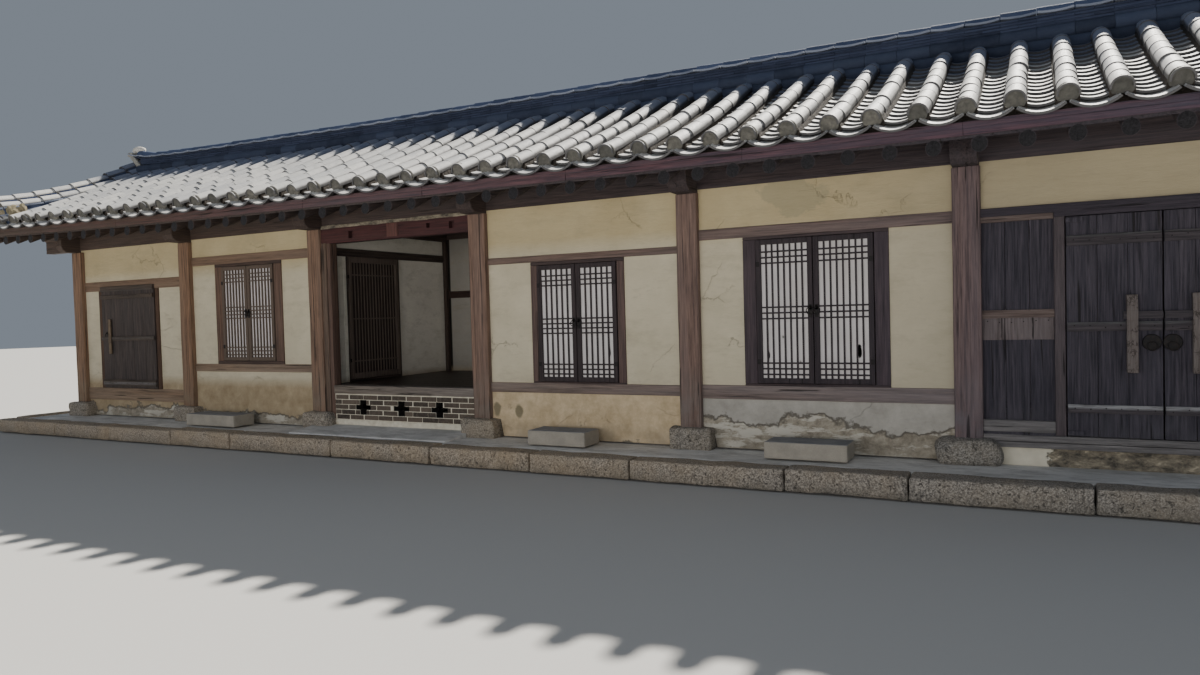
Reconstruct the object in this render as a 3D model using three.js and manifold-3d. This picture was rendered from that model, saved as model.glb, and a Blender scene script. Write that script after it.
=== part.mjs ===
// Hanok service wing: six bays of timber frame, one bay deep, standing on pad stones and a low
// stone plinth under a gabled tile roof. Millimetres, +Z up, +X along the front, the yard at -Y.
import * as THREE from 'three';
import { mergeVertices } from 'three/addons/utils/BufferGeometryUtils.js';
import Module from 'manifold-3d';

const wasm = await Module();
wasm.setup();

// Plan: one ja is the carpenter's foot, and a bay is eight of them each way
const JA = 303;
const BAY = 8 * JA;
const BAYS = 6;
const HALF_LENGTH = (BAYS * BAY) / 2;
const HALF_DEPTH = BAY / 2;
const GAP = 0.3;

// Heights above the ground
const PLINTH_TOP = 200;
const PAD_TOP = 380;
const COLUMN_TOP = 2600;
const LINTEL_SOFFIT = 2632;
const BEAM_TOP = 2840;
const ROOM_FLOOR = 740;
const PORCH_FLOOR = 710;

// Plinth and pads
const PLINTH_MARGIN_FRONT = 900;
const PLINTH_MARGIN_END = 800;
const PAD_HALF = 245;
const PAD_TOP_HALF = 205;
const PAD_CHAMFER = 70;

// Timber sections
const COLUMN_HALF = 107;
const COLUMN_CHAMFER = 10;
const BEAM_WIDTH = 200;
const BEAM_OVERHANG = 330;
const PURLIN_RADIUS = 105;
const RIDGE_PURLIN_RADIUS = 100;
const LINTEL_BOARD = 110;
const RAFTER_RADIUS = 47;
const ROUND_SIDES = 12;
const RAFTER_ARC_POINTS = 8;

// Walls, measured inward from the column line: timbers stand proud, plaster runs on behind them
const TIMBER_FACE = -60;
const TIMBER_BACK = 30;
const PLASTER_FACE = -45;
const PLASTER_BACK = 50;
const REAR_LINING = 125;
const PARTITION_HALF = 50;

// Roof, measured outward from the ridge line
const RAFTER_END = HALF_DEPTH + 970;
const RAFTER_END_HEIGHT = 2620;
const PITCH = 0.4557;
const SHEATHING_BOTTOM = 45;
const SHEATHING_TOP = 85;
const EAVE_BOARD_IN = RAFTER_END - 42;
const EAVE_BOARD_OUT = RAFTER_END + 8;
const EAVE_BOARD_BOTTOM = 2698;
const EAVE_TILE_BOTTOM = 2770;
const EAVE = HALF_DEPTH + 1040;
const EAVE_TOP = 2865;
const RIDGE_FOOT = 142;
const RIDGE_FOOT_HEIGHT = 3825;
const SLOPE_SAG = 30;
const SLOPE_STEPS = 4;
const GABLE_EDGE = 8200;
const BARGE_IN = 8110;
const BARGE_OUT = 8160;
const BARGE_DROP = 150;
const VERGE_IN = 7400;
const VERGE_OUT = 7760;
const VERGE_END = EAVE - 50;

// The eaves and ridge rise gently from a low point near the right end, as the real roof does
const LOW_POINT = 5000;
const LEFT_RISE = 120;
const LEFT_RISE_AT = 7400;
const RIGHT_RISE = 100;
const RIGHT_RISE_AT = 8470;
const RISE_POWER = 2.5;

// Finishes
const plaster = new THREE.MeshStandardMaterial({ color: 0xb9ab8b, roughness: 0.95, metalness: 0 });
const oldTimber = new THREE.MeshStandardMaterial({ color: 0x5b4436, roughness: 0.85, metalness: 0 });
const darkTimber = new THREE.MeshStandardMaterial({ color: 0x33251e, roughness: 0.8, metalness: 0 });
const redTimber = new THREE.MeshStandardMaterial({ color: 0x5d2b24, roughness: 0.8, metalness: 0 });
const granite = new THREE.MeshStandardMaterial({ color: 0x8f887a, roughness: 0.9, metalness: 0 });
const brick = new THREE.MeshStandardMaterial({ color: 0x4b4138, roughness: 0.9, metalness: 0 });
const tile = new THREE.MeshStandardMaterial({ color: 0x8d9096, roughness: 0.6, metalness: 0 });
const ondolPaper = new THREE.MeshStandardMaterial({ color: 0xc2a873, roughness: 0.6, metalness: 0 });
const latticePaper = new THREE.MeshStandardMaterial({ color: 0xd9d6cd, roughness: 0.9, metalness: 0 });

const house = new THREE.Group();

// Solids

function signedVolume(points, faces) {
  let total = 0;
  for (const [a, b, c] of faces) {
    const [p, q, r] = [points[a], points[b], points[c]];
    total += p[0] * (q[1] * r[2] - q[2] * r[1]);
    total -= p[1] * (q[0] * r[2] - q[2] * r[0]);
    total += p[2] * (q[0] * r[1] - q[1] * r[0]);
  }
  return total;
}

function solidOf(geometry) {
  const bare = geometry.clone();
  bare.deleteAttribute('normal');
  bare.deleteAttribute('uv');
  const merged = mergeVertices(bare, 0.001);
  return new wasm.Manifold(new wasm.Mesh({
    numProp: 3,
    vertProperties: new Float32Array(merged.attributes.position.array),
    triVerts: new Uint32Array(merged.index.array),
  }));
}

function geometryOf(solid) {
  const mesh = solid.getMesh();
  const geometry = new THREE.BufferGeometry();
  geometry.setAttribute('position', new THREE.BufferAttribute(mesh.vertProperties, 3));
  geometry.setIndex(new THREE.BufferAttribute(mesh.triVerts, 1));
  geometry.computeVertexNormals();
  return geometry;
}

function block([x0, x1], [y0, y1], [z0, z1], grow = 0) {
  const geometry = new THREE.BoxGeometry(x1 - x0 + 2 * grow, y1 - y0 + 2 * grow, z1 - z0 + 2 * grow);
  geometry.translate((x0 + x1) / 2, (y0 + y1) / 2, (z0 + z1) / 2);
  return solidOf(geometry);
}

function join(solids) {
  return solids.reduce((whole, next) => whole.add(next));
}

function cut(solid, tools) {
  return tools.reduce((left, tool) => left.subtract(tool), solid);
}

// A closed solid through rings of points; the end rings are flat in coordinates u and v
function loft(rings, u, v) {
  const count = rings[0].length;
  const points = rings.flat();
  const faces = [];
  for (let ring = 0; ring + 1 < rings.length; ring += 1) {
    for (let i = 0; i < count; i += 1) {
      const a = ring * count + i;
      const b = ring * count + ((i + 1) % count);
      faces.push([a, b, b + count], [a, b + count, a + count]);
    }
  }
  const outline = rings[0].map((point) => new THREE.Vector2(point[u], point[v]));
  const cap = THREE.ShapeUtils.triangulateShape(outline, []);
  const last = (rings.length - 1) * count;
  // The side walls run the ring's own way round; the caps have to run against it at both ends
  const areaOf = ([a, b, c]) => THREE.ShapeUtils.area([outline[a], outline[b], outline[c]]);
  const capArea = cap.reduce((sum, triangle) => sum + areaOf(triangle), 0);
  const sameWay = THREE.ShapeUtils.area(outline) * capArea > 0;
  for (const [a, b, c] of cap) {
    const [second, third] = sameWay ? [b, c] : [c, b];
    faces.push([a, third, second], [last + a, last + second, last + third]);
  }
  const outward = signedVolume(points, faces) > 0;
  const geometry = new THREE.BufferGeometry();
  geometry.setAttribute('position', new THREE.Float32BufferAttribute(points.flat(), 3));
  geometry.setIndex(faces.flatMap((face) => (outward ? face : [...face].reverse())));
  return solidOf(geometry);
}

function logAlongX(y, z, radius, [x0, x1], grow = 0) {
  const ring = (x) => Array.from({ length: ROUND_SIDES }, (_, i) => {
    const angle = ((i + 0.5) / ROUND_SIDES) * 2 * Math.PI;
    return [x, y + (radius + grow) * Math.cos(angle), z + (radius + grow) * Math.sin(angle)];
  });
  return loft([ring(x0 - grow), ring(x1 + grow)], 1, 2);
}

function upright(x, y, radius, [z0, z1], sides = 8) {
  const ring = (z) => Array.from({ length: sides }, (_, i) => {
    const angle = ((i + 0.5) / sides) * 2 * Math.PI;
    return [x + radius * Math.cos(angle), y + radius * Math.sin(angle), z];
  });
  return loft([ring(z0), ring(z1)], 0, 1);
}

function chamferedPost(x, y, lowHalf, topHalf, chamfer, [z0, z1]) {
  const ring = (half, z) => [
    [-half, -half + chamfer], [-half + chamfer, -half], [half - chamfer, -half], [half, -half + chamfer],
    [half, half - chamfer], [half - chamfer, half], [-half + chamfer, half], [-half, half - chamfer],
  ].map(([dx, dy]) => [x + dx, y + dy, z]);
  return loft([ring(lowHalf, z0), ring(topHalf, z1)], 0, 1);
}

function add(name, solid, material) {
  const mesh = new THREE.Mesh(geometryOf(solid), material);
  mesh.name = name;
  house.add(mesh);
}

// Setting out

const columnX = Array.from({ length: BAYS + 1 }, (_, i) => (i - BAYS / 2) * BAY);
const columns = (y, half, [z0, z1]) =>
  columnX.map((x) => chamferedPost(x, y, half, half, COLUMN_CHAMFER, [z0, z1]));
const pads = (grow) => [-HALF_DEPTH, HALF_DEPTH].flatMap((y) => columnX.map((x) =>
  chamferedPost(x, y, PAD_HALF + grow, PAD_TOP_HALF + grow, PAD_CHAMFER, [PLINTH_TOP - 20, PAD_TOP])));

// How far the roof is lifted at x
function rise(x) {
  if (x < LOW_POINT) {
    return LEFT_RISE * ((LOW_POINT - x) / (LOW_POINT + LEFT_RISE_AT)) ** RISE_POWER;
  }
  return RIGHT_RISE * ((x - LOW_POINT) / (RIGHT_RISE_AT - LOW_POINT)) ** RISE_POWER;
}

const rafterAxis = (u) => RAFTER_END_HEIGHT + (RAFTER_END - u) * PITCH;
const slopeCosine = 1 / Math.hypot(1, PITCH);
const PURLIN_Z = rafterAxis(HALF_DEPTH) - (PURLIN_RADIUS + RAFTER_RADIUS) / slopeCosine - 0.5;
const RIDGE_PURLIN_Z = rafterAxis(0) - (RIDGE_PURLIN_RADIUS + RAFTER_RADIUS) / slopeCosine - 0.5;

// Tile surface: a shallow hollow from the ridge foot to the eave, in straight steps
const slopePoints = Array.from({ length: SLOPE_STEPS + 1 }, (_, i) => {
  const part = i / SLOPE_STEPS;
  const u = RIDGE_FOOT + (EAVE - RIDGE_FOOT) * part;
  const line = RIDGE_FOOT_HEIGHT + (EAVE_TOP - RIDGE_FOOT_HEIGHT) * part;
  return [u, line - 4 * SLOPE_SAG * part * (1 - part)];
});

function tileTop(u) {
  if (u <= RIDGE_FOOT) {
    return RIDGE_FOOT_HEIGHT;
  }
  const after = slopePoints.findIndex(([at]) => at >= u);
  const [[u0, z0], [u1, z1]] = [slopePoints[after - 1], slopePoints[after]];
  return z0 + ((z1 - z0) * (u - u0)) / (u1 - u0);
}

// Sections of the roof along X; the bends in the rise lie here, so stacked pieces meet
const roofStations = [
  -GABLE_EDGE, -VERGE_OUT, -VERGE_IN, -6600, -5700, -4848, -3636, -2424, 0, 2424, 4848,
  6000, 6600, VERGE_IN, VERGE_OUT, GABLE_EDGE,
];

// A length of roof whose section, given as [u, z] pairs, follows the rise; side is -1 in front
function roofStrip(section, side, [from, to]) {
  const inner = roofStations.filter((x) => x > from && x < to);
  const rings = [from, ...inner, to].map((x) => section.map(([u, z]) => [x, side * u, z + riseBetween(x)]));
  return loft(rings, 1, 2);
}

// The rise as the straight runs between stations give it
function riseBetween(x) {
  const after = Math.max(1, roofStations.findIndex((at) => at >= x));
  const [x0, x1] = [roofStations[after - 1], roofStations[after]];
  return rise(x0) + ((rise(x1) - rise(x0)) * (x - x0)) / (x1 - x0);
}

// Plinth: stone-edged terrace, raised earth floor inside the walls, pad stones and the gate's foot

const gateBay = [columnX[5], columnX[6]];
const floorEdge = HALF_DEPTH - PLASTER_BACK - GAP;
add('plinth', join([
  block(
    [-HALF_LENGTH - PLINTH_MARGIN_END, HALF_LENGTH + PLINTH_MARGIN_END],
    [-HALF_DEPTH - PLINTH_MARGIN_FRONT, HALF_DEPTH + PLINTH_MARGIN_FRONT],
    [0, PLINTH_TOP],
  ),
  block([-HALF_LENGTH + PLASTER_BACK + GAP, HALF_LENGTH - PLASTER_BACK - GAP],
    [-floorEdge, HALF_DEPTH - REAR_LINING - GAP], [PLINTH_TOP - 20, PAD_TOP]),
  block(gateBay, [-HALF_DEPTH + PLASTER_FACE, -floorEdge + 20], [PLINTH_TOP - 20, 329.7]),
  ...pads(0),
]), granite);

// Step stones before the raised doors

const STEP_TOP = 345;
const stepStones = {
  step_stone_bay_2: [-4400, -3500],
  step_stone_bay_4: [820, 1470],
  step_stone_bay_5: [3240, 3950],
};
for (const [name, span] of Object.entries(stepStones)) {
  add(name, block(span, [-HALF_DEPTH - 480, -HALF_DEPTH - 165], [PLINTH_TOP, STEP_TOP]), granite);
}

// Front columns

columns(-HALF_DEPTH, COLUMN_HALF, [PAD_TOP, COLUMN_TOP]).forEach((column, i) => {
  add(`front_column_${i + 1}`, column, oldTimber);
});
const columnCutters = [-HALF_DEPTH, HALF_DEPTH].flatMap((y) =>
  columns(y, COLUMN_HALF + GAP, [PAD_TOP - GAP, COLUMN_TOP + GAP]));
const padCutters = pads(GAP);

// Cross beams with their king posts; the two end beams stand outside the gable plaster

function beamSpan(i, grow = 0) {
  const x = columnX[i];
  if (i === 0) {
    return [x - 110 - grow, x + TIMBER_BACK + grow];
  }
  if (i === BAYS) {
    return [x - TIMBER_BACK - grow, x + 110 + grow];
  }
  return [x - BEAM_WIDTH / 2 - grow, x + BEAM_WIDTH / 2 + grow];
}

const beamEnd = HALF_DEPTH + BEAM_OVERHANG;
const beamProfile = [
  [-beamEnd, COLUMN_TOP + 90], [-beamEnd + 25, COLUMN_TOP + 35], [-beamEnd + 80, COLUMN_TOP],
  [beamEnd - 80, COLUMN_TOP], [beamEnd - 25, COLUMN_TOP + 35], [beamEnd, COLUMN_TOP + 90],
  [beamEnd, BEAM_TOP], [-beamEnd, BEAM_TOP],
];
const kingPostProfile = [
  [-260, BEAM_TOP - 10], [260, BEAM_TOP - 10], [200, BEAM_TOP + 160], [110, BEAM_TOP + 260],
  [90, RIDGE_PURLIN_Z - 20], [-90, RIDGE_PURLIN_Z - 20], [-110, BEAM_TOP + 260], [-200, BEAM_TOP + 160],
];
const purlins = (grow) => [
  logAlongX(-HALF_DEPTH, PURLIN_Z, PURLIN_RADIUS, [-BARGE_IN + GAP, BARGE_IN - GAP], grow),
  logAlongX(HALF_DEPTH, PURLIN_Z, PURLIN_RADIUS, [-BARGE_IN + GAP, BARGE_IN - GAP], grow),
  logAlongX(0, RIDGE_PURLIN_Z, RIDGE_PURLIN_RADIUS, [-BARGE_IN + GAP, BARGE_IN - GAP], grow),
];
const purlinCutters = purlins(GAP);

function crossBeam(i, grow = 0) {
  const [x0, x1] = beamSpan(i, grow);
  const outward = (level) => ([y, z]) => [y + Math.sign(y) * grow, z + Math.sign(z - level) * grow];
  const prism = (profile, ends) => loft(ends.map((x) => profile.map(([y, z]) => [x, y, z])), 1, 2);
  const beam = prism(beamProfile.map(outward(BEAM_TOP - 100)), [x0, x1]);
  const [p0, p1] = i % BAYS === 0 ? [x0, x1] : [x0 + 30, x1 - 30];
  const post = prism(kingPostProfile.map(outward(BEAM_TOP)), [p0, p1]);
  return join([beam, post]);
}

const beamCutters = columnX.map((_, i) => crossBeam(i, GAP));
columnX.forEach((_, i) => {
  add(`cross_beam_${i + 1}`, cut(crossBeam(i), purlinCutters), oldTimber);
});

// Purlins: a round log on a lintel board that is housed between the beams

function lintelBoard(side, grow = 0) {
  const y = side * HALF_DEPTH;
  const board = block([-BARGE_IN + GAP, BARGE_IN - GAP], [y - LINTEL_BOARD / 2, y + LINTEL_BOARD / 2],
    [LINTEL_SOFFIT, PURLIN_Z - PURLIN_RADIUS * 0.8], grow);
  const slots = columnX.map((_, i) => {
    const [x0, x1] = beamSpan(i, GAP);
    return block([x0, x1], [y - 200, y + 200], [COLUMN_TOP - 50, BEAM_TOP + GAP]);
  });
  return grow ? board : cut(board, slots);
}

// Packing on a wall purlin takes up the rise of the rafters towards the ends
function packing(side) {
  const [near, far] = [HALF_DEPTH - 45, HALF_DEPTH + 45];
  const seat = (u) => rafterAxis(u) - RAFTER_RADIUS / slopeCosine - GAP;
  const stations = [-BARGE_IN + GAP, ...roofStations.filter((x) => Math.abs(x) < BARGE_IN), BARGE_IN - GAP];
  return loft(stations.map((x) => [
    [x, side * near, PURLIN_Z], [x, side * far, PURLIN_Z],
    [x, side * far, seat(far) + riseBetween(x)], [x, side * near, seat(near) + riseBetween(x)],
  ]), 1, 2);
}

const [frontPurlin, rearPurlin, ridgePurlin] = purlins(0);
add('front_purlin', join([frontPurlin, packing(-1), lintelBoard(-1)]), oldTimber);
add('rear_purlin', join([rearPurlin, packing(1), lintelBoard(1)]), oldTimber);
add('ridge_purlin', ridgePurlin, oldTimber);

// Door leaves, made in a frame of their own: the jamb's face at y = 0, the yard at -y, the
// opening from x = 0 to its width and from z = 0 to its height

const LEAF_GAP = 5;
const MEETING_GAP = 8;
const KNUCKLE_RADIUS = 12;
const KNUCKLE_HEIGHT = 45;
const AXIS_Y = -(KNUCKLE_RADIUS + GAP);
const LEAF_FRONT = -14;
const LEAF_THICKNESS = 35;
const STILE = 45;
const PAPER = 12;
const BATTEN = 22;
const knuckleHeights = (height) => [0.14 * height, 0.82 * height];

function jambKnuckles(hingeX, height) {
  return knuckleHeights(height).flatMap((z) => [
    upright(hingeX, AXIS_Y, KNUCKLE_RADIUS, [z, z + KNUCKLE_HEIGHT]),
    block([hingeX - 4, hingeX + 4], [AXIS_Y, 2], [z, z + KNUCKLE_HEIGHT]),
  ]);
}

function leaf({ hingeX, reach, height, battens }) {
  const toward = Math.sign(reach);
  const edges = [hingeX + toward * LEAF_GAP, hingeX + reach].sort((a, b) => a - b);
  const [bottom, top] = [LEAF_GAP, height - LEAF_GAP];
  const board = block(edges, [LEAF_FRONT, LEAF_FRONT + LEAF_THICKNESS], [bottom, top]);
  let body = board;
  if (battens) {
    const nailed = battens.map(([z0, z1]) =>
      block([edges[0] + 30, edges[1] - 30], [LEAF_FRONT - BATTEN, LEAF_FRONT + 5], [z0, z1]));
    body = join([board, ...nailed]);
  } else {
    const inside = [edges[0] + STILE, edges[1] - STILE];
    const field = [bottom + STILE, top - STILE];
    const backOfPaper = LEAF_FRONT + LEAF_THICKNESS - PAPER / 2;
    body = cut(board, [
      block(inside, [LEAF_FRONT - 5, backOfPaper - PAPER], field),
      block(inside, [backOfPaper, LEAF_FRONT + LEAF_THICKNESS + 5], field),
    ]);
  }
  for (const z of knuckleHeights(height)) {
    const seat = z + KNUCKLE_HEIGHT + GAP;
    const notch = upright(hingeX, AXIS_Y, KNUCKLE_RADIUS + LEAF_GAP, [z - LEAF_GAP, seat]);
    const pin = upright(hingeX, AXIS_Y, KNUCKLE_RADIUS, [seat, seat + KNUCKLE_HEIGHT]);
    body = body.subtract(notch).add(pin);
  }
  return body;
}

// A pair of leaves meeting at the middle, or one leaf hung on either side
function hangLeaves(names, opening, material, place, { battens, hinge } = {}) {
  const width = opening.x[1] - opening.x[0];
  const height = opening.z[1] - opening.z[0];
  const meeting = opening.meeting ?? width / 2;
  const parts = names.length === 2
    ? [[0, meeting - MEETING_GAP / 2], [width, meeting + MEETING_GAP / 2 - width]]
    : [hinge === 'right' ? [width, MEETING_GAP - width] : [0, width - MEETING_GAP]];
  parts.forEach(([hingeX, reach], i) => {
    add(names[i], place(leaf({ hingeX, reach, height, battens })), material);
  });
  return parts.flatMap(([hingeX]) => jambKnuckles(hingeX, height)).map(place);
}

const onFront = (opening) => (solid) =>
  solid.translate([opening.x[0], -HALF_DEPTH + TIMBER_FACE, opening.z[0]]);

// Front bays: each has its timbers, joined round the doorway, and its plaster

const throughWall = [-HALF_DEPTH - 100, -HALF_DEPTH + 100];
const timberDepth = [-HALF_DEPTH + TIMBER_FACE, -HALF_DEPTH + TIMBER_BACK];
const plasterDepth = [-HALF_DEPTH + PLASTER_FACE, -HALF_DEPTH + PLASTER_BACK];

function frontBay(number, { timbers, opening, leaves, leafMaterial, leafStyle, base }) {
  const [x0, x1] = [columnX[number - 1], columnX[number]];
  const doorway = (grow) => block(opening.x, throughWall, opening.z, grow);
  const shapes = (grow) => timbers.map(({ x = [x0, x1], z }) => block(x, timberDepth, z, grow));
  const knuckles = hangLeaves(leaves, opening, leafMaterial, onFront(opening), leafStyle);
  const frame = cut(join(shapes(0)), [doorway(0), ...columnCutters]);
  add(`bay_${number}_frame`, join([frame, ...knuckles]), darkTimber);
  const wall = block([x0, x1], plasterDepth, [base, LINTEL_SOFFIT]);
  add(`bay_${number}_plaster`,
    cut(wall, [doorway(0), join(shapes(GAP)), ...columnCutters, ...padCutters, ...beamCutters]), plaster);
}

frontBay(1, {
  timbers: [
    { z: [2015, 2150] }, { z: [427, 600] },
    { x: [-6835, -6755], z: [590, 2025] }, { x: [-5550, -5470], z: [590, 2025] },
  ],
  opening: { x: [-6760, -5545], z: [600, 2080] },
  leaves: ['bay_1_door'],
  leafMaterial: darkTimber,
  leafStyle: { battens: [[40, 130], [690, 750], [1290, 1350]], hinge: 'right' },
  base: PLINTH_TOP,
});

frontBay(2, {
  timbers: [
    { z: [2275, 2390] }, { z: [860, 960] },
    { x: [-4285, -3045], z: [2235, 2280] }, { x: [-4285, -3045], z: [955, 1000] },
    { x: [-4285, -4145], z: [950, 2280] }, { x: [-3185, -3045], z: [950, 2280] },
  ],
  opening: { x: [-4150, -3180], z: [1000, 2235] },
  leaves: ['bay_2_left_leaf', 'bay_2_right_leaf'],
  leafMaterial: latticePaper,
  base: PLINTH_TOP,
});

frontBay(4, {
  timbers: [
    { z: [2045, 2115] }, { z: [675, 780] },
    { x: [645, 1735], z: [2010, 2050] }, { x: [645, 1735], z: [775, 795] },
    { x: [645, 730], z: [770, 2050] }, { x: [1650, 1735], z: [770, 2050] },
  ],
  opening: { x: [725, 1655], z: [795, 2010] },
  leaves: ['bay_4_left_leaf', 'bay_4_right_leaf'],
  leafMaterial: latticePaper,
  base: PLINTH_TOP,
});

frontBay(5, {
  timbers: [
    { z: [2153, 2252] }, { z: [660, 790] },
    { x: [2955, 4240], z: [2125, 2160] }, { x: [2955, 4240], z: [785, 810] },
    { x: [2955, 3080], z: [780, 2160] }, { x: [4115, 4240], z: [780, 2160] },
  ],
  opening: { x: [3075, 4120], z: [810, 2125] },
  leaves: ['bay_5_left_leaf', 'bay_5_right_leaf'],
  leafMaterial: latticePaper,
  base: PLINTH_TOP,
});

// Bay 3, the open porch: lintel and jamb post, brick dado with its cap, board floor

const [porchLeft, porchRight] = [columnX[2], columnX[3]];
add('porch_lintel', cut(join([
  block([porchLeft, porchRight], [-HALF_DEPTH - 80, -HALF_DEPTH + 40], [2410, LINTEL_SOFFIT]),
  block([porchLeft, -2142], [-HALF_DEPTH - 80, -HALF_DEPTH + 40], [PORCH_FLOOR, 2420]),
]), [...columnCutters, ...beamCutters]), redTimber);

const dadoBack = 120;
add('porch_dado', cut(join([
  block([porchLeft, porchRight], [-HALF_DEPTH - 80, -HALF_DEPTH + PLASTER_BACK], [PLINTH_TOP, 600]),
  block([porchLeft + PARTITION_HALF + GAP, porchRight - PARTITION_HALF - GAP],
    [-HALF_DEPTH - 60, -HALF_DEPTH + dadoBack], [PAD_TOP, 600]),
  block([porchLeft, porchRight], [-HALF_DEPTH - 95, -HALF_DEPTH + 50], [590, PORCH_FLOOR]),
]), [...columnCutters, ...padCutters]), brick);

add('porch_floor', cut(
  block([porchLeft + PARTITION_HALF + GAP, porchRight - PARTITION_HALF - GAP],
    [-HALF_DEPTH + 50 + GAP, HALF_DEPTH - PLASTER_BACK - GAP], [600, PORCH_FLOOR]),
  columnCutters,
), oldTimber);

// Porch partitions, between front and rear columns; the left one has a lattice door

const partitionRun = [-HALF_DEPTH, HALF_DEPTH];
const partitionWidth = [porchLeft - PARTITION_HALF, porchLeft + PARTITION_HALF];
const partitionTimberFace = porchLeft + PARTITION_HALF + 15;
const partitionTimberDepth = [partitionWidth[0], partitionTimberFace];
const sideDoor = { x: [0, 930], z: [0, 1560] };
const [sideDoorY, sideDoorZ] = [-HALF_DEPTH + 380, PORCH_FLOOR + 30];
const onPartition = (solid) =>
  solid.rotate([0, 0, 90]).translate([partitionTimberFace, sideDoorY, sideDoorZ]);
const sideDoorKnuckles = hangLeaves(['porch_side_door'], sideDoor, darkTimber, onPartition,
  { hinge: 'left' });
const sideDoorway = block(
  [porchLeft - 200, porchLeft + 200],
  sideDoor.x.map((y) => sideDoorY + y),
  sideDoor.z.map((z) => sideDoorZ + z),
);
const sideDoorFrame = [sideDoorY - 60, sideDoorY + sideDoor.x[1] + 60];
add('porch_partition_left', cut(join([
  block(partitionWidth, partitionRun, [PAD_TOP, COLUMN_TOP]),
  block(partitionTimberDepth, partitionRun, [2295, 2395]),
  block(partitionTimberDepth, sideDoorFrame, [PORCH_FLOOR + 1, 2300]),
]), [sideDoorway, ...columnCutters]).add(join(sideDoorKnuckles)), plaster);

add('porch_partition_right', cut(
  block([porchRight - PARTITION_HALF, porchRight + PARTITION_HALF], partitionRun, [PAD_TOP, COLUMN_TOP]),
  columnCutters,
), plaster);

// Heated floors of the rooms, masonry under oiled paper

const roomDepth = [-HALF_DEPTH + PLASTER_BACK + GAP, HALF_DEPTH - REAR_LINING - GAP];
add('room_floor_bay_2', cut(
  block([columnX[1], porchLeft - PARTITION_HALF - GAP], roomDepth, [PAD_TOP, ROOM_FLOOR]),
  columnCutters,
), ondolPaper);
add('room_floor_bays_4_5', cut(
  block([porchRight + PARTITION_HALF + GAP, columnX[5]], roomDepth, [PAD_TOP, ROOM_FLOOR]),
  columnCutters,
), ondolPaper);

// Bay 6, the storeroom gate: posts, lintel, threshold and board side panels in one frame

const gateOpening = { x: [5545, 6815], z: [433, 2145], meeting: 6180 - 5545 };
const gateKnuckles = hangLeaves(['gate_left_leaf', 'gate_right_leaf'], gateOpening, darkTimber,
  onFront(gateOpening), { battens: [[190, 255], [820, 890], [1480, 1560]] });
const gateFrame = join([
  ...[[2180, 2245], [385, 546]].map((z) => block(gateBay, timberDepth, z)),
  block([5470, 6890], timberDepth, [2140, 2190]),
  block([5470, 6890], [timberDepth[0] - 25, timberDepth[1]], [330, 433]),
  ...[[5470, 5545], [6815, 6890]].map((x) => block(x, timberDepth, [340, 2190])),
  ...[[columnX[5], 5480], [6880, columnX[6]]].map((x) =>
    block(x, [-HALF_DEPTH - 30, -HALF_DEPTH], [540, 2190])),
  block([columnX[5], 5480], [timberDepth[0] + 10, timberDepth[1]], [1366, 1430]),
  block([6880, columnX[6]], [timberDepth[0] + 10, timberDepth[1]], [1366, 1430]),
]);
const gateDoorway = block(gateOpening.x, throughWall, gateOpening.z);
add('gate_frame', cut(gateFrame, [gateDoorway, ...columnCutters]).add(join(gateKnuckles)), darkTimber);
add('gate_upper_plaster', cut(
  block(gateBay, [plasterDepth[0], -HALF_DEPTH + TIMBER_BACK], [2245, LINTEL_SOFFIT]),
  [...columnCutters, ...beamCutters],
), plaster);

// Rear wall: columns, rails and sills in one frame, plaster between them and lining the rooms

const rearTimberDepth = [HALF_DEPTH - TIMBER_BACK, HALF_DEPTH - TIMBER_FACE];
const rearRails = (grow) => [[2153, 2252], [675, 785]].map((z) =>
  block([-HALF_LENGTH, HALF_LENGTH], rearTimberDepth, z, grow));
add('rear_frame', join([
  ...columns(HALF_DEPTH, COLUMN_HALF, [PAD_TOP, COLUMN_TOP]),
  ...rearRails(0),
]), oldTimber);

const rearCutters = [...columnCutters, ...padCutters, ...rearRails(GAP), ...beamCutters];
const rearOutside = HALF_DEPTH - PLASTER_FACE;
function rearWall(name, [x0, x1], inside) {
  const infill = block([x0, x1], [HALF_DEPTH - inside, rearOutside], [PLINTH_TOP, LINTEL_SOFFIT]);
  add(name, cut(infill, rearCutters), plaster);
}

const insideLeftEnd = -HALF_LENGTH + PLASTER_BACK + GAP;
const roomSide = PARTITION_HALF + GAP;
rearWall('rear_wall_left', [insideLeftEnd, porchLeft - roomSide], REAR_LINING);
rearWall('rear_wall_porch', [porchLeft, porchRight], PLASTER_BACK);
rearWall('rear_wall_right', [porchRight + roomSide, -insideLeftEnd], REAR_LINING);

// End walls: plaster from the plinth up into the gable, behind the end beam

const sheathingUnderside = (u) => rafterAxis(u) + SHEATHING_BOTTOM;
function endWall(name, side) {
  const x = side * HALF_LENGTH;
  const faces = [x - side * PLASTER_FACE, x - side * PLASTER_BACK];
  const lift = Math.min(...faces.map(riseBetween)) - 1;
  const outline = [
    [-floorEdge, PLINTH_TOP], [floorEdge, PLINTH_TOP], [floorEdge, sheathingUnderside(floorEdge) + lift],
    [0, sheathingUnderside(0) + lift], [-floorEdge, sheathingUnderside(floorEdge) + lift],
  ];
  const wall = loft(faces.map((at) => outline.map(([y, z]) => [at, y, z])), 1, 2);
  const frame = [...columnCutters, ...padCutters, ...beamCutters, ...purlinCutters];
  add(name, cut(wall, [...frame, lintelBoard(-1, GAP), lintelBoard(1, GAP)]), plaster);
}

endWall('left_end_wall', -1);
endWall('right_end_wall', 1);

// Rafters with the boarding, eave board and bargeboards

const rafterX = [];
for (let x = JA / 2; x < BARGE_IN - RAFTER_RADIUS; x += JA) {
  rafterX.push(-x, x);
}

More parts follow.
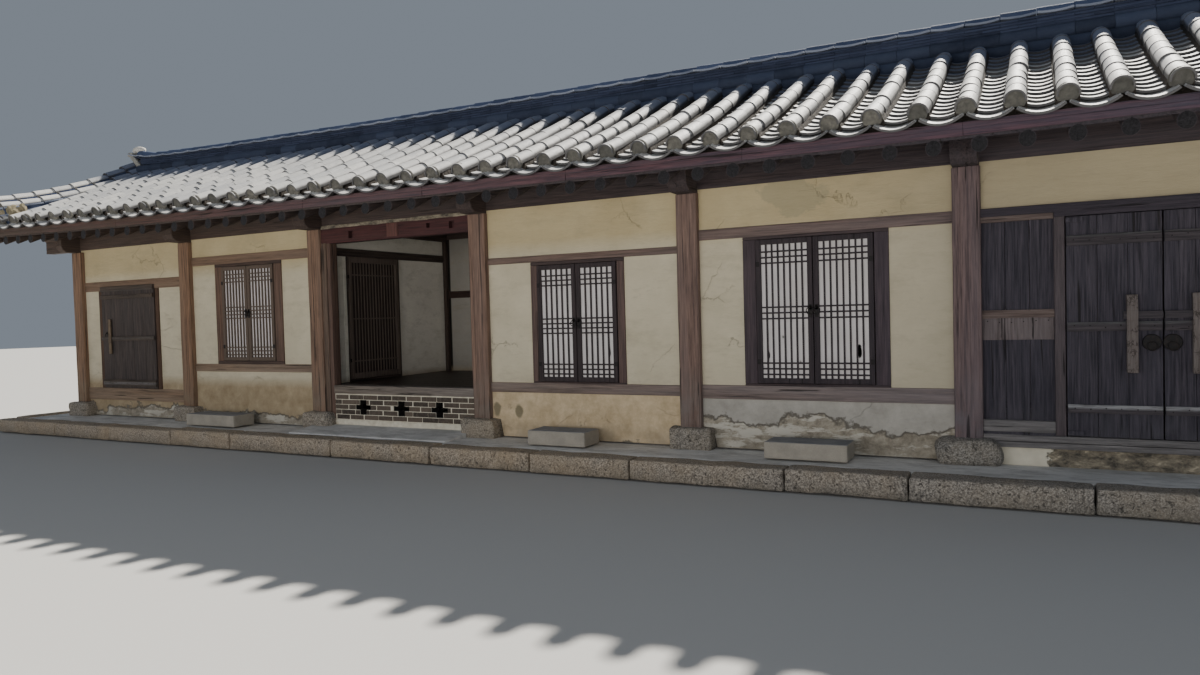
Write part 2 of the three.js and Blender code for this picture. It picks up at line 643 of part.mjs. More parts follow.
// The boards and the logs under them in one section along X, drawn out from the ridge to the eave
function boardedRafters(side) {
  const undercut = Math.asin((SHEATHING_BOTTOM * slopeCosine) / RAFTER_RADIUS);
  const sweepStep = (Math.PI + 2 * undercut) / (RAFTER_ARC_POINTS - 1);
  const arc = Array.from({ length: RAFTER_ARC_POINTS }, (_, i) => {
    const angle = Math.PI - undercut + i * sweepStep;
    return [RAFTER_RADIUS * Math.cos(angle), (RAFTER_RADIUS / slopeCosine) * Math.sin(angle)];
  });
  const under = [...rafterX].sort((a, b) => a - b)
    .flatMap((x) => arc.map(([dx, dz]) => [x + dx, dz + riseBetween(x)]));
  const level = (x, z) => [x, z + riseBetween(x)];
  const over = roofStations.slice(1, -1).map((x) => level(x, SHEATHING_TOP)).reverse();
  const section = [
    level(-BARGE_OUT, SHEATHING_BOTTOM), ...under, level(BARGE_OUT, SHEATHING_BOTTOM),
    level(BARGE_OUT, SHEATHING_TOP), ...over, level(-BARGE_OUT, SHEATHING_TOP),
  ];
  const ring = (u) => section.map(([x, z]) => [x, side * u, rafterAxis(u) + z]);
  return loft([GAP / 2, RAFTER_END].map(ring), 0, 2);
}

function raftersAndBoarding(side) {
  const inner = GAP / 2;
  const eaveBoard = [
    [EAVE_BOARD_IN, EAVE_BOARD_BOTTOM], [EAVE_BOARD_OUT, EAVE_BOARD_BOTTOM],
    [EAVE_BOARD_OUT, EAVE_TILE_BOTTOM], [EAVE_BOARD_IN, EAVE_TILE_BOTTOM],
  ];
  const barge = [
    [inner, rafterAxis(inner) - BARGE_DROP], [inner, rafterAxis(inner) + SHEATHING_TOP - 5],
    [RAFTER_END, rafterAxis(RAFTER_END) + SHEATHING_TOP - 5],
    [RAFTER_END, rafterAxis(RAFTER_END) - BARGE_DROP / 2],
  ];
  return join([
    boardedRafters(side),
    roofStrip(eaveBoard, side, [-BARGE_OUT, BARGE_OUT]),
    roofStrip(barge, side, [-BARGE_OUT, -BARGE_IN]),
    roofStrip(barge, side, [BARGE_IN, BARGE_OUT]),
  ]);
}

add('front_rafters', raftersAndBoarding(-1), oldTimber);
add('rear_rafters', raftersAndBoarding(1), oldTimber);

// Tile slopes on their clay bed: rows of round tiles over troughs between the verge ridges, and
// short rows across each verge

const ROW_PITCH = 317.6;
const ROW_PHASE = 4596;
const ROW_RADIUS = 75;
const ROW_LIFT = 4;
const TROUGH_EDGE = -55;
const TROUGH_FLOOR = -72;
const FIELD_EDGE = VERGE_IN - 5;
const rowEdge = FIELD_EDGE - ROW_RADIUS;
const firstRow = Math.ceil((-rowEdge - ROW_PHASE) / ROW_PITCH);
const lastRow = Math.floor((rowEdge - ROW_PHASE) / ROW_PITCH);
const rowX = Array.from({ length: lastRow - firstRow + 1 },
  (_, i) => ROW_PHASE + (firstRow + i) * ROW_PITCH);
const rowArc = [180, 135, 90, 45, 0].map((degrees) => {
  const angle = (degrees * Math.PI) / 180;
  return [ROW_RADIUS * Math.cos(angle), ROW_LIFT + ROW_RADIUS * Math.sin(angle)];
});
const rowProfile = [[-ROW_RADIUS, TROUGH_EDGE], ...rowArc, [ROW_RADIUS, TROUGH_EDGE]];

// Height above the roof's setting-out surface, along X
const vergeX = roofStations.filter((x) => x > FIELD_EDGE);
const tileProfile = [
  ...vergeX.map((x) => [-x, 0]).reverse(), [-FIELD_EDGE, 0], [-FIELD_EDGE, TROUGH_EDGE],
  ...rowX.flatMap((x, i) => [
    ...(i ? [[x - ROW_PITCH / 2, TROUGH_FLOOR]] : []),
    ...rowProfile.map(([dx, dz]) => [x + dx, dz]),
  ]),
  [FIELD_EDGE, TROUGH_EDGE], [FIELD_EDGE, 0], ...vergeX.map((x) => [x, 0]),
];
const bedUnderside = (u) => rafterAxis(u) + SHEATHING_TOP + GAP;

function tileSlope(side) {
  const ring = (u) => [
    ...tileProfile.map(([x, dz]) => [x, side * u, tileTop(u) + dz + riseBetween(x)]),
    ...[...roofStations].reverse().map((x) => [x, side * u, bedUnderside(u) + riseBetween(x)]),
  ];
  const field = loft([RIDGE_FOOT - 1, ...slopePoints.slice(1).map(([u]) => u)].map(ring), 0, 2);
  const head = [
    [GAP / 2, bedUnderside(GAP / 2)], [GAP / 2, RIDGE_FOOT_HEIGHT],
    [RIDGE_FOOT, RIDGE_FOOT_HEIGHT], [RIDGE_FOOT, bedUnderside(RIDGE_FOOT)],
  ];
  const [below, beyond] = [EAVE_BOARD_BOTTOM - 100, EAVE + 100];
  const overEaveBoard = [
    [EAVE_BOARD_IN - GAP, below], [beyond, below],
    [beyond, EAVE_TILE_BOTTOM + GAP], [EAVE_BOARD_IN - GAP, EAVE_TILE_BOTTOM + GAP],
  ];
  const whole = [-GABLE_EDGE, GABLE_EDGE];
  const bed = join([field, roofStrip(head, side, whole)]);
  return cut(bed, [roofStrip(overEaveBoard, side, whole)]);
}

const VERGE_ROW_PITCH = 318;
const VERGE_ROWS = 7;
const VERGE_ROW_IN = VERGE_OUT + 15;
const VERGE_ROW_ROOT = -20;
const VERGE_ROW_MARGIN = 7;

function vergeRow(end, side, i) {
  const middle = EAVE - ROW_RADIUS - VERGE_ROW_MARGIN - i * VERGE_ROW_PITCH;
  const profile = [[-ROW_RADIUS, VERGE_ROW_ROOT], ...rowArc, [ROW_RADIUS, VERGE_ROW_ROOT]];
  return loft([end * VERGE_ROW_IN, end * GABLE_EDGE].map((x) =>
    profile.map(([du, dz]) => [x, side * (middle + du), tileTop(middle + du) + dz + riseBetween(x)])), 1, 2);
}

for (const [name, side] of [['front_roof_tiles', -1], ['rear_roof_tiles', 1]]) {
  const vergeRows = [-1, 1].flatMap((end) =>
    Array.from({ length: VERGE_ROWS }, (_, i) => vergeRow(end, side, i)));
  add(name, join([tileSlope(side), ...vergeRows]), tile);
}

// Ridges: the main one swept up at both ends, and one down each verge that lifts towards the eave

const RIDGE_HALF = 135;
const LIP_HALF = RIDGE_HALF + 15;
const RIDGE_HEIGHT = 345;
const ridgeSection = [
  [-RIDGE_HALF, 0], [RIDGE_HALF, 0], [RIDGE_HALF, 235], [LIP_HALF, 237], [LIP_HALF, 260],
  [85, 275], [75, 320], [40, RIDGE_HEIGHT], [-40, RIDGE_HEIGHT], [-75, 320], [-85, 275],
  [-LIP_HALF, 260], [-LIP_HALF, 237], [-RIDGE_HALF, 235],
];
const SWEEP_FROM = 6900;
const SWEEP = 140;
const ridgeStations = roofStations.filter((x) => Math.abs(x) <= VERGE_OUT)
  .concat([-7200, -7600, 7200, 7600]).sort((a, b) => a - b);

function ridgeRing(x) {
  const sweep = SWEEP * (Math.max(0, Math.abs(x) - SWEEP_FROM) / (VERGE_OUT - SWEEP_FROM)) ** 2;
  return ridgeSection.map(([y, z]) =>
    [x, y, RIDGE_FOOT_HEIGHT + GAP + riseBetween(x) + z + (sweep * z) / RIDGE_HEIGHT]);
}

const END_TILE_TOP = 505;

function ridgeEnd(side) {
  const [x0, x1] = [side * (VERGE_OUT - 10), side * (VERGE_OUT + 30)].sort((a, b) => a - b);
  const outline = [
    [-120, 30], [120, 30], [120, END_TILE_TOP - 120], [85, END_TILE_TOP - 35], [30, END_TILE_TOP],
    [-30, END_TILE_TOP], [-85, END_TILE_TOP - 35], [-120, END_TILE_TOP - 120],
  ];
  const foot = RIDGE_FOOT_HEIGHT + riseBetween(side * VERGE_OUT);
  return loft([x0, x1].map((x) => outline.map(([y, z]) => [x, y, z + foot])), 1, 2);
}

// The outer of the two rows on a verge ridge lies a step above the inner one
const VERGE_HEIGHT = 155;
const VERGE_LIFT = 213;
const VERGE_STEP = 80;
const VERGE_SHOULDER = 60;

function vergeRidge(end, side) {
  const [x0, x1] = [end * VERGE_IN, end * VERGE_OUT];
  const middle = (x0 + x1) / 2;
  const slopeBends = slopePoints.map(([u]) => u).filter((u) => u < VERGE_END);
  const bends = [RIDGE_HALF - 35, ...slopeBends, VERGE_END];
  const rings = bends.map((u) => {
    const top = VERGE_HEIGHT + VERGE_LIFT * (u / EAVE) ** 2;
    const at = (x, z) => [x, side * u, tileTop(u) + GAP + z + riseBetween(x)];
    return [at(x0, 0), at(x1, 0), at(x1, top - VERGE_SHOULDER), at(x1 - end * 40, top),
      at(middle + end * 40, top), at(middle, top - VERGE_STEP), at(x0 + end * 40, top - VERGE_STEP),
      at(x0, top - VERGE_STEP - VERGE_SHOULDER)];
  });
  return loft(rings, 0, 2);
}

add('roof_ridges', join([
  loft(ridgeStations.map(ridgeRing), 1, 2),
  ridgeEnd(-1),
  ridgeEnd(1),
  ...[-1, 1].flatMap((end) => [-1, 1].map((side) => vergeRidge(end, side))),
]), tile);

export default house;
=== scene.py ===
# Korean timber house seen from its yard: six bays of eight ja under a tiled gable roof.
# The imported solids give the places, and each section below dresses the next part to be built.
import math
import random

import bpy
from mathutils import Matrix, Vector
from mathutils.bvhtree import BVHTree


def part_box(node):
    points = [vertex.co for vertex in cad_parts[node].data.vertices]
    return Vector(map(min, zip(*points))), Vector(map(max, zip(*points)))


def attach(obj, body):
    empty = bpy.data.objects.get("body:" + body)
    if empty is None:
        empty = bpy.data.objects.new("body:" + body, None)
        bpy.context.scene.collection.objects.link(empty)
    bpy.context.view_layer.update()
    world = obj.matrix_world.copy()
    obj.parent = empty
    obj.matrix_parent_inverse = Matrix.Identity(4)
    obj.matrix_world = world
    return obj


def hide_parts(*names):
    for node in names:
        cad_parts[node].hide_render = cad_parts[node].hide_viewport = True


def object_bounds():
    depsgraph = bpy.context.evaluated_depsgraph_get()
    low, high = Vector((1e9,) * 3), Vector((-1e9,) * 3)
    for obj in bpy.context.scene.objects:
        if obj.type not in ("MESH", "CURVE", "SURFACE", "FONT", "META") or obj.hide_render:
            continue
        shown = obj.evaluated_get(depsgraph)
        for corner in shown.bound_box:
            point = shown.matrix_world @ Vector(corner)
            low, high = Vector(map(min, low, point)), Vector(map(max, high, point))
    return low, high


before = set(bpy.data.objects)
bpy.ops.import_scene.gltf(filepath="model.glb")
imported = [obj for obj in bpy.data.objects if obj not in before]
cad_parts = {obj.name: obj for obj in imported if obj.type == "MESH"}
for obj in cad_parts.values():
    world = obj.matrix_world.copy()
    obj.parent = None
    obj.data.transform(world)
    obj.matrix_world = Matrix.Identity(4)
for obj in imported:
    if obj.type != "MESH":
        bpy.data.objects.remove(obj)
cad_box = [list(corner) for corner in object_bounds()]
chance = random.Random(8)


# The photograph's viewpoint
# Eye height in the yard, before the gate, turned left along the front wall. The photograph is
# 1200 pixels wide and its lens draws one metre at one metre's distance 832 pixels long.
photo_width = 1200
focal_pixels = 832
eye = Vector((5.343, -8.688, 1.493))
turned_left = 0.48328
tipped_down = 0.02904
leaning = -0.02736
ahead = Vector((
    -math.sin(turned_left) * math.cos(tipped_down),
    math.cos(turned_left) * math.cos(tipped_down),
    -math.sin(tipped_down),
))
sideways = Vector((math.cos(turned_left), math.sin(turned_left), 0))
above = sideways.cross(ahead)
picture_right = sideways * math.cos(leaning) + above * math.sin(leaning)
picture_up = above * math.cos(leaning) - sideways * math.sin(leaning)
bpy.ops.object.camera_add()
camera = bpy.context.object
looking = Matrix((picture_right, picture_up, -ahead)).transposed().to_4x4()
camera.matrix_world = Matrix.Translation(eye) @ looking
camera.data.lens = camera.data.sensor_width * focal_pixels / photo_width
camera.data.clip_end = 300
bpy.context.scene.camera = camera


# Studio floor and light
# A wide pale floor under an even pale sky. The key comes from high behind the ridge, as in the
# photograph, so the tiles gleam and the front stands in soft shade.
def join(socket, value):
    """Links a socket to another or sets it to a plain value. Colours are given without alpha."""
    if isinstance(value, bpy.types.NodeSocket):
        socket.id_data.links.new(value, socket)
    elif socket.type == "RGBA":
        socket.default_value = (*value, 1)
    else:
        socket.default_value = value


def put(tree, kind, **inputs):
    """Adds a shader node. Names of its inputs set them, and any other name sets the node."""
    made = tree.nodes.new(kind)
    for name, value in inputs.items():
        socket = made.inputs.get(name.replace("_", " "))
        if socket is None:
            setattr(made, name, value)
        else:
            join(socket, value)
    return made


def new_finish(name, roughness=0.85, metallic=0.0):
    """An empty finish with its own shader: returns the material, its node tree and the shader."""
    finish = bpy.data.materials.new(name)
    finish.use_nodes = True
    tree = finish.node_tree
    shader = tree.nodes["Principled BSDF"]
    shader.inputs["Roughness"].default_value = roughness
    shader.inputs["Metallic"].default_value = metallic
    return finish, tree, shader


bpy.ops.mesh.primitive_circle_add(vertices=96, radius=70, fill_type="NGON")
floor = bpy.context.object
floor.name = "studio_floor"
floor_finish, tree, shader = new_finish("pale studio floor", 0.9)
shader.inputs["Base Color"].default_value = (0.52, 0.51, 0.49, 1)
floor.data.materials.append(floor_finish)

sky = bpy.data.worlds.new("pale sky")
bpy.context.scene.world = sky
sky.use_nodes = True
sky.node_tree.nodes["Background"].inputs["Color"].default_value = (0.74, 0.85, 1.0, 1)
sky.node_tree.nodes["Background"].inputs["Strength"].default_value = 0.27

bpy.ops.object.light_add(type="SUN", location=(6, 12, 14))
key = bpy.context.object
key.rotation_euler = (math.radians(-48), math.radians(5), 0)
key.data.energy = 9.4
key.data.angle = math.radians(1.2)
key.data.color = (1.0, 0.955, 0.87)

bpy.ops.object.light_add(type="AREA", location=(1.0, -14.0, 1.6))
fill = bpy.context.object
fill.rotation_euler = (Vector((0, 0, 1.5)) - fill.location).to_track_quat("-Z", "Y").to_euler()
fill.data.shape = "RECTANGLE"
fill.data.size = 16
fill.data.size_y = 3
fill.data.energy = 560
fill.data.color = (1.0, 0.98, 0.95)


# Plinth: curb stones, trodden lime top, raised floors
# Hand-split granite curbs one to one and a half metres long hold an earth fill, topped with
# grey lime that has worn smooth. The curbs lie dry, end to end, each a little out of line.
def tree_of(*values):
    """The node tree of the sockets among some values."""
    return next(value.id_data for value in values if isinstance(value, bpy.types.NodeSocket))


def mix(factor, first, second, how="MIX"):
    """Lays the second colour over the first."""
    made = put(tree_of(factor, first, second), "ShaderNodeMix", data_type="RGBA", blend_type=how)
    for socket, value in ((made.inputs[0], factor), (made.inputs[6], first), (made.inputs[7], second)):
        join(socket, value)
    return made.outputs[2]


def between(value, low, high, bottom=0.0, top=1.0):
    """Runs from bottom to top while the value runs from low to high."""
    ends = {"From_Min": low, "From_Max": high, "To_Min": bottom, "To_Max": top}
    return put(value.id_data, "ShaderNodeMapRange", Value=value, **ends).outputs["Result"]


def both(first, second, operation="MULTIPLY"):
    """Product, sum or other arithmetic of two values."""
    made = put(tree_of(first, second), "ShaderNodeMath", operation=operation)
    for socket, value in zip(made.inputs, (first, second)):
        join(socket, value)
    return made.outputs[0]


def noise(place, scale, detail=5.0, roughness=0.55):
    """Cloudy noise between 0 and 1 at a place."""
    cloudy = {"Scale": scale, "Detail": detail, "Roughness": roughness}
    return put(place.id_data, "ShaderNodeTexNoise", Vector=place, **cloudy).outputs["Fac"]


def own_place(tree, scale=(1, 1, 1)):
    """The piece's own coordinates in metres, stretched by a scale."""
    here = put(tree, "ShaderNodeTexCoord").outputs["Object"]
    return put(tree, "ShaderNodeMapping", Vector=here, Scale=scale).outputs["Vector"]


def own_axis(tree, axis):
    """One of the piece's own coordinates, in metres."""
    return put(tree, "ShaderNodeSeparateXYZ", Vector=own_place(tree)).outputs[axis]


def raise_surface(shader, height, depth):
    """Embosses the surface by a height, depth metres at most."""
    bump = put(shader.id_data, "ShaderNodeBump", Height=height, Distance=depth, Strength=1.0)
    join(shader.inputs["Normal"], bump.outputs["Normal"])


def paint(shader, colour):
    """Gives the shader its colour."""
    join(shader.inputs["Base Color"], colour)


def stone_finish(name, pale, dark, damp_to=0.0):
    """Split granite: mineral speckle, broad stains, and damp soil up to a height."""
    finish, tree, shader = new_finish(name, 0.88)
    place = own_place(tree)
    speckle = between(noise(place, 78, 3, 0.80), 0.42, 0.56)
    stain = between(noise(place, 2.6, 6, 0.6), 0.35, 0.68)
    colour = mix(speckle, dark, pale)
    warm = tuple(share * tint for share, tint in zip((0.836, 0.738, 0.590), pale))
    colour = mix(both(stain, 0.55), colour, warm)
    if damp_to:
        damp_and_shade = between(own_axis(tree, "Z"), damp_to, 0.0)
        damp_and_shade = both(damp_and_shade, between(noise(place, 9), 0.25, 0.6))
        colour = mix(both(damp_and_shade, 0.6), colour, (0.09, 0.08, 0.06))
    pocked = between(noise(place, 38, 5, 0.75), 0.57, 0.66)
    colour = mix(both(pocked, 0.6), colour, tuple(0.45 * tint for tint in dark))
    cooler = between(own_axis(tree, "X"), 1.0, 6.0)
    paint(shader, mix(cooler, colour, (0.80, 0.87, 0.98), "MULTIPLY"))
    relief = both(noise(place, 34, 7, 0.7), both(speckle, 0.25), "ADD")
    raise_surface(shader, both(relief, pocked, "SUBTRACT"), 0.009)
    return finish


def pick(*things):
    """Selects these things alone; the last is the active one."""
    bpy.ops.object.select_all(action="DESELECT")
    for thing in things:
        thing.select_set(True)
    bpy.context.view_layer.objects.active = things[-1]


def shape(add, **settings):
    """Adds a plain shape by its operator, with its place and scale worked into the mesh."""
    bpy.ops.object.select_all(action="DESELECT")
    add(**settings)
    bpy.ops.object.transform_apply()
    return bpy.context.object


def edit(piece, *steps):
    """Runs mesh operators on the whole of a piece, each step an operator and its settings."""
    pick(piece)
    bpy.ops.object.mode_set(mode="EDIT")
    for operator, settings in steps:
        bpy.ops.mesh.select_all(action="SELECT")
        operator(**settings)
    bpy.ops.object.mode_set(mode="OBJECT")
    return piece


def eased(width, segments):
    """The step that rounds all edges."""
    return bpy.ops.mesh.bevel, {"offset": width, "segments": segments, "affect": "EDGES"}


def block(low, high, edge, cuts=0, along=None):
    """A squared piece between two corners with its edges eased, cut all over or along one axis."""
    middle = [(a + b) / 2 for a, b in zip(low, high)]
    size = [b - a for a, b in zip(low, high)]
    steps = [eased(edge, 2)]
    if cuts and along is None:
        steps.append((bpy.ops.mesh.subdivide, {"number_cuts": cuts}))
    elif cuts:
        for i in range(1, cuts + 1):
            at = list(middle)
            at[along] = low[along] + size[along] * i / (cuts + 1)
            across = [float(n == along) for n in range(3)]
            steps.append((bpy.ops.mesh.bisect, {"plane_co": at, "plane_no": across}))
    return edit(shape(bpy.ops.mesh.primitive_cube_add, size=1, location=middle, scale=size), *steps)


def wear(piece, depth, patch):
    """Moves the faces in and out by up to half the depth, in patches of a size, as hewing leaves them."""
    lumps = bpy.data.textures.new("lumps", "CLOUDS")
    lumps.noise_scale = patch
    worn = piece.modifiers.new("wear", "DISPLACE")
    worn.texture = lumps
    worn.texture_coords = "LOCAL"
    worn.strength = depth
    pick(piece)
    bpy.ops.object.modifier_apply(modifier=worn.name)
    return piece


def coat(finish, *parts):
    """Gives one finish to all the parts."""
    for part in parts:
        part.data.materials.clear()
        part.data.materials.append(finish)
    return list(parts)


def settle(name, parts, stands_for=(), body="house", corner=35):
    """Joins the parts into one named piece, smooths it up to a corner and fixes it to its body."""
    pick(*parts)
    if len(parts) > 1:
        bpy.ops.object.join()
    piece = bpy.context.object
    piece.name = name
    piece.data.name = name
    bpy.ops.object.shade_smooth_by_angle(angle=math.radians(corner))
    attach(piece, body)
    if stands_for:
        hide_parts(*stands_for)
    return piece


plinth_low, plinth_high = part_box("plinth")
curb_granite = stone_finish("curb granite", (0.58, 0.49, 0.385), (0.20, 0.168, 0.138), 0.13)
terrace_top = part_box("step_stone_bay_2")[0].z
curb_depth, curb_foot, curb_set_back = 0.26, 0.014, 0.012
front_joints = [
    plinth_low.x, -6.62, -5.402, -4.149, -3.077, -1.463, -0.103, 1.089, 2.136, 3.521, 4.474, 5.692, 6.86,
    plinth_high.x,
]
rear_joints = [-x for x in reversed(front_joints)]
curbs = []
for joints, y0, y1 in (
    (front_joints, plinth_low.y + curb_set_back, plinth_low.y + curb_depth),
    (rear_joints, plinth_high.y - curb_depth, plinth_high.y - curb_set_back),
):
    for x0, x1 in zip(joints, joints[1:]):
        top = terrace_top + chance.uniform(-0.012, 0.004)
        slip = chance.uniform(-0.008, 0.008)
        stone = block((x0 + 0.007, y0 + slip, curb_foot), (x1 - 0.007, y1 + slip, top), 0.018, 5)
        curbs.append(wear(stone, 0.026, 0.09))
end_stones = 4
end_near, end_far = plinth_low.y + curb_depth + 0.01, plinth_high.y - curb_depth - 0.01
for x0, x1 in (
    (plinth_low.x + curb_set_back, plinth_low.x + curb_depth),
    (plinth_high.x - curb_depth, plinth_high.x - curb_set_back),
):
    for i in range(end_stones):
        near, far = (end_near + (end_far - end_near) * (i + k) / end_stones for k in (0, 1))
        top = terrace_top + chance.uniform(-0.012, 0.004)
        stone = block((x0, near + 0.006, curb_foot), (x1, far - 0.006, top), 0.016, 5)
        curbs.append(wear(stone, 0.016, 0.12))
coat(curb_granite, *curbs)
settle("plinth_curb_stones", curbs, ("plinth",))

trodden_lime, tree, shader = new_finish("trodden lime", 0.9)
place = own_place(tree)
patches = between(noise(place, 1.3, 6, 0.6), 0.32, 0.7)
grit = noise(place, 150, 3, 0.7)
colour = mix(patches, (0.64, 0.63, 0.605), (0.95, 0.935, 0.905))
trodden = between(noise(own_place(tree, (0.6, 1.4, 1)), 4.5, 8, 0.75), 0.45, 0.60)
colour = mix(both(trodden, 0.55), colour, (0.40, 0.385, 0.36))
colour = mix(both(grit, 0.35), colour, (0.62, 0.60, 0.56), "MULTIPLY")
paint(shader, colour)
raise_surface(shader, both(noise(place, 5, 6), both(grit, 0.12), "ADD"), 0.012)

wall_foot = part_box("bay_2_plaster")[1].y
floor_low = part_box("left_end_wall")[1].x + 0.001
floor_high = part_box("right_end_wall")[0].x - 0.001
earth_top = plinth_high.z
under_curbs = curb_depth - 0.02
terrace = [
    block(
        (plinth_low.x + under_curbs, plinth_low.y + under_curbs, 0.02),
        (plinth_high.x - under_curbs, plinth_high.y - under_curbs, terrace_top - 0.015), 0.004, 30,
    ),
    block((floor_low, wall_foot, terrace_top - 0.02), (floor_high, 1.086, earth_top), 0.004, 6),
]
lime_rise, lime_slope = 0.044, math.radians(5.4)
skirt = block((-2.45, -0.50, -0.05), (-0.15, 0.0, 0.0), 0.004, 12)
at_dado = Matrix.Translation((0, -1.28, terrace_top + lime_rise))
skirt.data.transform(at_dado @ Matrix.Rotation(lime_slope, 4, "X"))
terrace.append(skirt)
for part in terrace:
    wear(part, 0.006, 0.3)
coat(trodden_lime, *terrace)
settle("terrace_and_earth_floor", terrace, ("plinth",))


# Pad stones under the columns
# Field granite set on the fill. Those by the gate are round boulders, the others roughly squared
# with a flat seat for the column.
def pad_stone(x, y, half, top, roundness):
    """A squared or rounded boulder whose seat is flat at its top."""
    bottom = terrace_top - 0.03
    stone = shape(
        bpy.ops.mesh.primitive_cube_add, size=1,
        location=(x, y, (bottom + top) / 2), scale=(2 * half, 1.8 * half, top - bottom),
    )
    rounding = {"number_cuts": 3, "smoothness": 0.4 * roundness}
    edit(stone, eased(0.02 + 0.055 * roundness, 3), (bpy.ops.mesh.subdivide, rounding))
    return wear(wear(stone, 0.03 + 0.025 * roundness, 0.16), 0.014, 0.05)


pad_granite = stone_finish("pad stone granite", (0.48, 0.43, 0.365), (0.115, 0.103, 0.088), 0.26)
column_nodes = [f"front_column_{i + 1}" for i in range(7)]
column_boxes = [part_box(name) for name in column_nodes]
column_x = [(low.x + high.x) / 2 for low, high in column_boxes]
column_foot = column_boxes[0][0].z
front_y = (column_boxes[0][0].y + column_boxes[0][1].y) / 2
round_pads = {0: 0.3, 1: 0.35, 2: 0.8, 3: 0.2, 4: 0.15, 5: 1.0, 6: 0.9}
pads = []
for i, x in enumerate(column_x):
    for y in (front_y, -front_y):
        half = 0.215 + 0.03 * round_pads[i] + chance.uniform(-0.01, 0.01)
        pads.append(pad_stone(x + chance.uniform(-0.02, 0.02), y, half, column_foot + 0.008, round_pads[i]))
coat(pad_granite, *pads)
settle("pad_stones", pads, ("plinth",), corner=60)


# Step stones before the raised doors
# Sawn and bush-hammered granite slabs, paler than the old stones.
def facing_up(tree):
    """How far the surface looks upward: 1 is level."""
    outward = put(tree, "ShaderNodeNewGeometry").outputs["Normal"]
    return put(tree, "ShaderNodeSeparateXYZ", Vector=outward).outputs["Z"]


step_granite, tree, shader = new_finish("step stone granite", 0.9)
place = own_place(tree)
speckle = between(noise(place, 190, 3, 0.7), 0.35, 0.65)
stained = between(noise(place, 6, 6, 0.65), 0.35, 0.7)
colour = mix(stained, (0.47, 0.425, 0.355), (0.34, 0.31, 0.26))
colour = mix(both(speckle, 0.3), colour, (0.23, 0.21, 0.18))
# Level tops are coloured darker and greyer than the sides.
darker_top = mix(stained, (0.22, 0.225, 0.235), (0.34, 0.34, 0.345))
paint(shader, mix(between(facing_up(tree), 0.75, 0.95), colour, darker_top))
raise_surface(shader, both(noise(place, 40, 6), both(speckle, 0.3), "ADD"), 0.004)
for name in ("step_stone_bay_2", "step_stone_bay_4", "step_stone_bay_5"):
    low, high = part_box(name)
    slab = wear(block(low, high, 0.012, 8), 0.007, 0.1)
    coat(step_granite, slab)
    settle(name + "_slab", [slab], (name,))


# Timber frame: columns
# Pine posts a hand's span and a half square, adzed by hand and never painted again. The grain
# has opened in long checks, and weather has turned the brown to grey at the foot.
grain = bpy.data.node_groups.new("Timber grain", "ShaderNodeTree")
grain.interface.new_socket("Place", in_out="INPUT", socket_type="NodeSocketVector")
for label in ("Streak", "Patch", "Check"):
    grain.interface.new_socket(label, in_out="OUTPUT", socket_type="NodeSocketFloat")
entry = grain.nodes.new("NodeGroupInput").outputs["Place"]
stretched = put(grain, "ShaderNodeVectorMath", operation="SCALE", Vector=entry, Scale=0.35).outputs[0]
put(
    grain, "NodeGroupOutput",
    Streak=between(noise(entry, 2.4, 8, 0.72), 0.36, 0.66),
    Patch=between(noise(stretched, 1.1, 5, 0.6), 0.3, 0.72),
    Check=between(noise(entry, 1.25, 3, 0.5), 0.665, 0.70),
)

fine, coarse = 26, 0.9
along_grain = {"x": (coarse, fine, fine), "y": (fine, coarse, fine), "z": (fine, fine, coarse)}


def timber_finish(name, axis, dark, light, worn, worn_share=0.5, foot=None, roughness=0.82, relief=0.004):
    """Weathered timber with its grain along an axis: dark and light streaks, worn patches, checks.
    The foot, a height and a colour, greys the timber below that height."""
    finish, tree, shader = new_finish(name, roughness)
    fibres = put(tree, "ShaderNodeGroup", node_tree=grain, Place=own_place(tree, along_grain[axis]))
    streak, patch, check = (fibres.outputs[label] for label in ("Streak", "Patch", "Check"))
    colour = mix(streak, dark, light)
    colour = mix(both(patch, worn_share), colour, worn)
    if foot:
        foot_height, foot_colour = foot
        rising = between(own_axis(tree, "Z"), foot_height, foot_height - 0.45)
        rising = both(rising, between(noise(own_place(tree), 7), 0.3, 0.65))
        colour = mix(both(rising, 0.7), colour, foot_colour)
    colour = mix(both(check, 0.8), colour, (0.012, 0.009, 0.008))
    to_gate = between(own_axis(tree, "X"), -4.5, 4.8)
    weathered = mix(to_gate, (1.12, 0.98, 0.76), (0.90, 0.92, 1.05))
    paint(shader, mix(1.0, colour, weathered, "MULTIPLY"))
    raise_surface(shader, both(streak, both(check, 1.6), "SUBTRACT"), relief)
    return finish


def reopen(finish):
    """A finish to work on further: returns its node tree, its shader and its colour so far."""
    tree = finish.node_tree
    shader = tree.nodes["Principled BSDF"]
    return tree, shader, shader.inputs["Base Color"].links[0].from_socket


wall_face, timber_back = -1.272, -1.182
post_wood = timber_finish(
    "column timber", "z", (0.062, 0.038, 0.031), (0.345, 0.222, 0.164), (0.258, 0.195, 0.170), 0.55,
    foot=(1.00, (0.225, 0.195, 0.168)),
)
tree, shader, colour = reopen(post_wood)
here = put(tree, "ShaderNodeSeparateXYZ", Vector=own_place(tree)).outputs
# On the rear posts the faces inside the house are coloured near black: painted shade.
inside = both(here["Y"], here["Y"])
inside = both(between(inside, 1.20 ** 2, 1.19 ** 2), between(here["Y"], 0.0, 0.5))
colour = mix(both(inside, 0.82), colour, (0.020, 0.015, 0.014))
long_checks = between(noise(own_place(tree, (34, 34, 0.55)), 1.0, 5, 0.65), 0.60, 0.635)
colour = mix(both(long_checks, 0.75), colour, (0.016, 0.011, 0.010))
by_gate = between(here["X"], 4.5, 4.6)
paint(shader, mix(by_gate, colour, (0.80, 0.82, 0.92), "MULTIPLY"))
for name, (low, high) in zip(column_nodes, column_boxes):
    post = wear(block(low, high, 0.011, 14, along=2), 0.012, 0.5)
    coat(post_wood, post)
    settle(name + "_timber", [post], (name,))

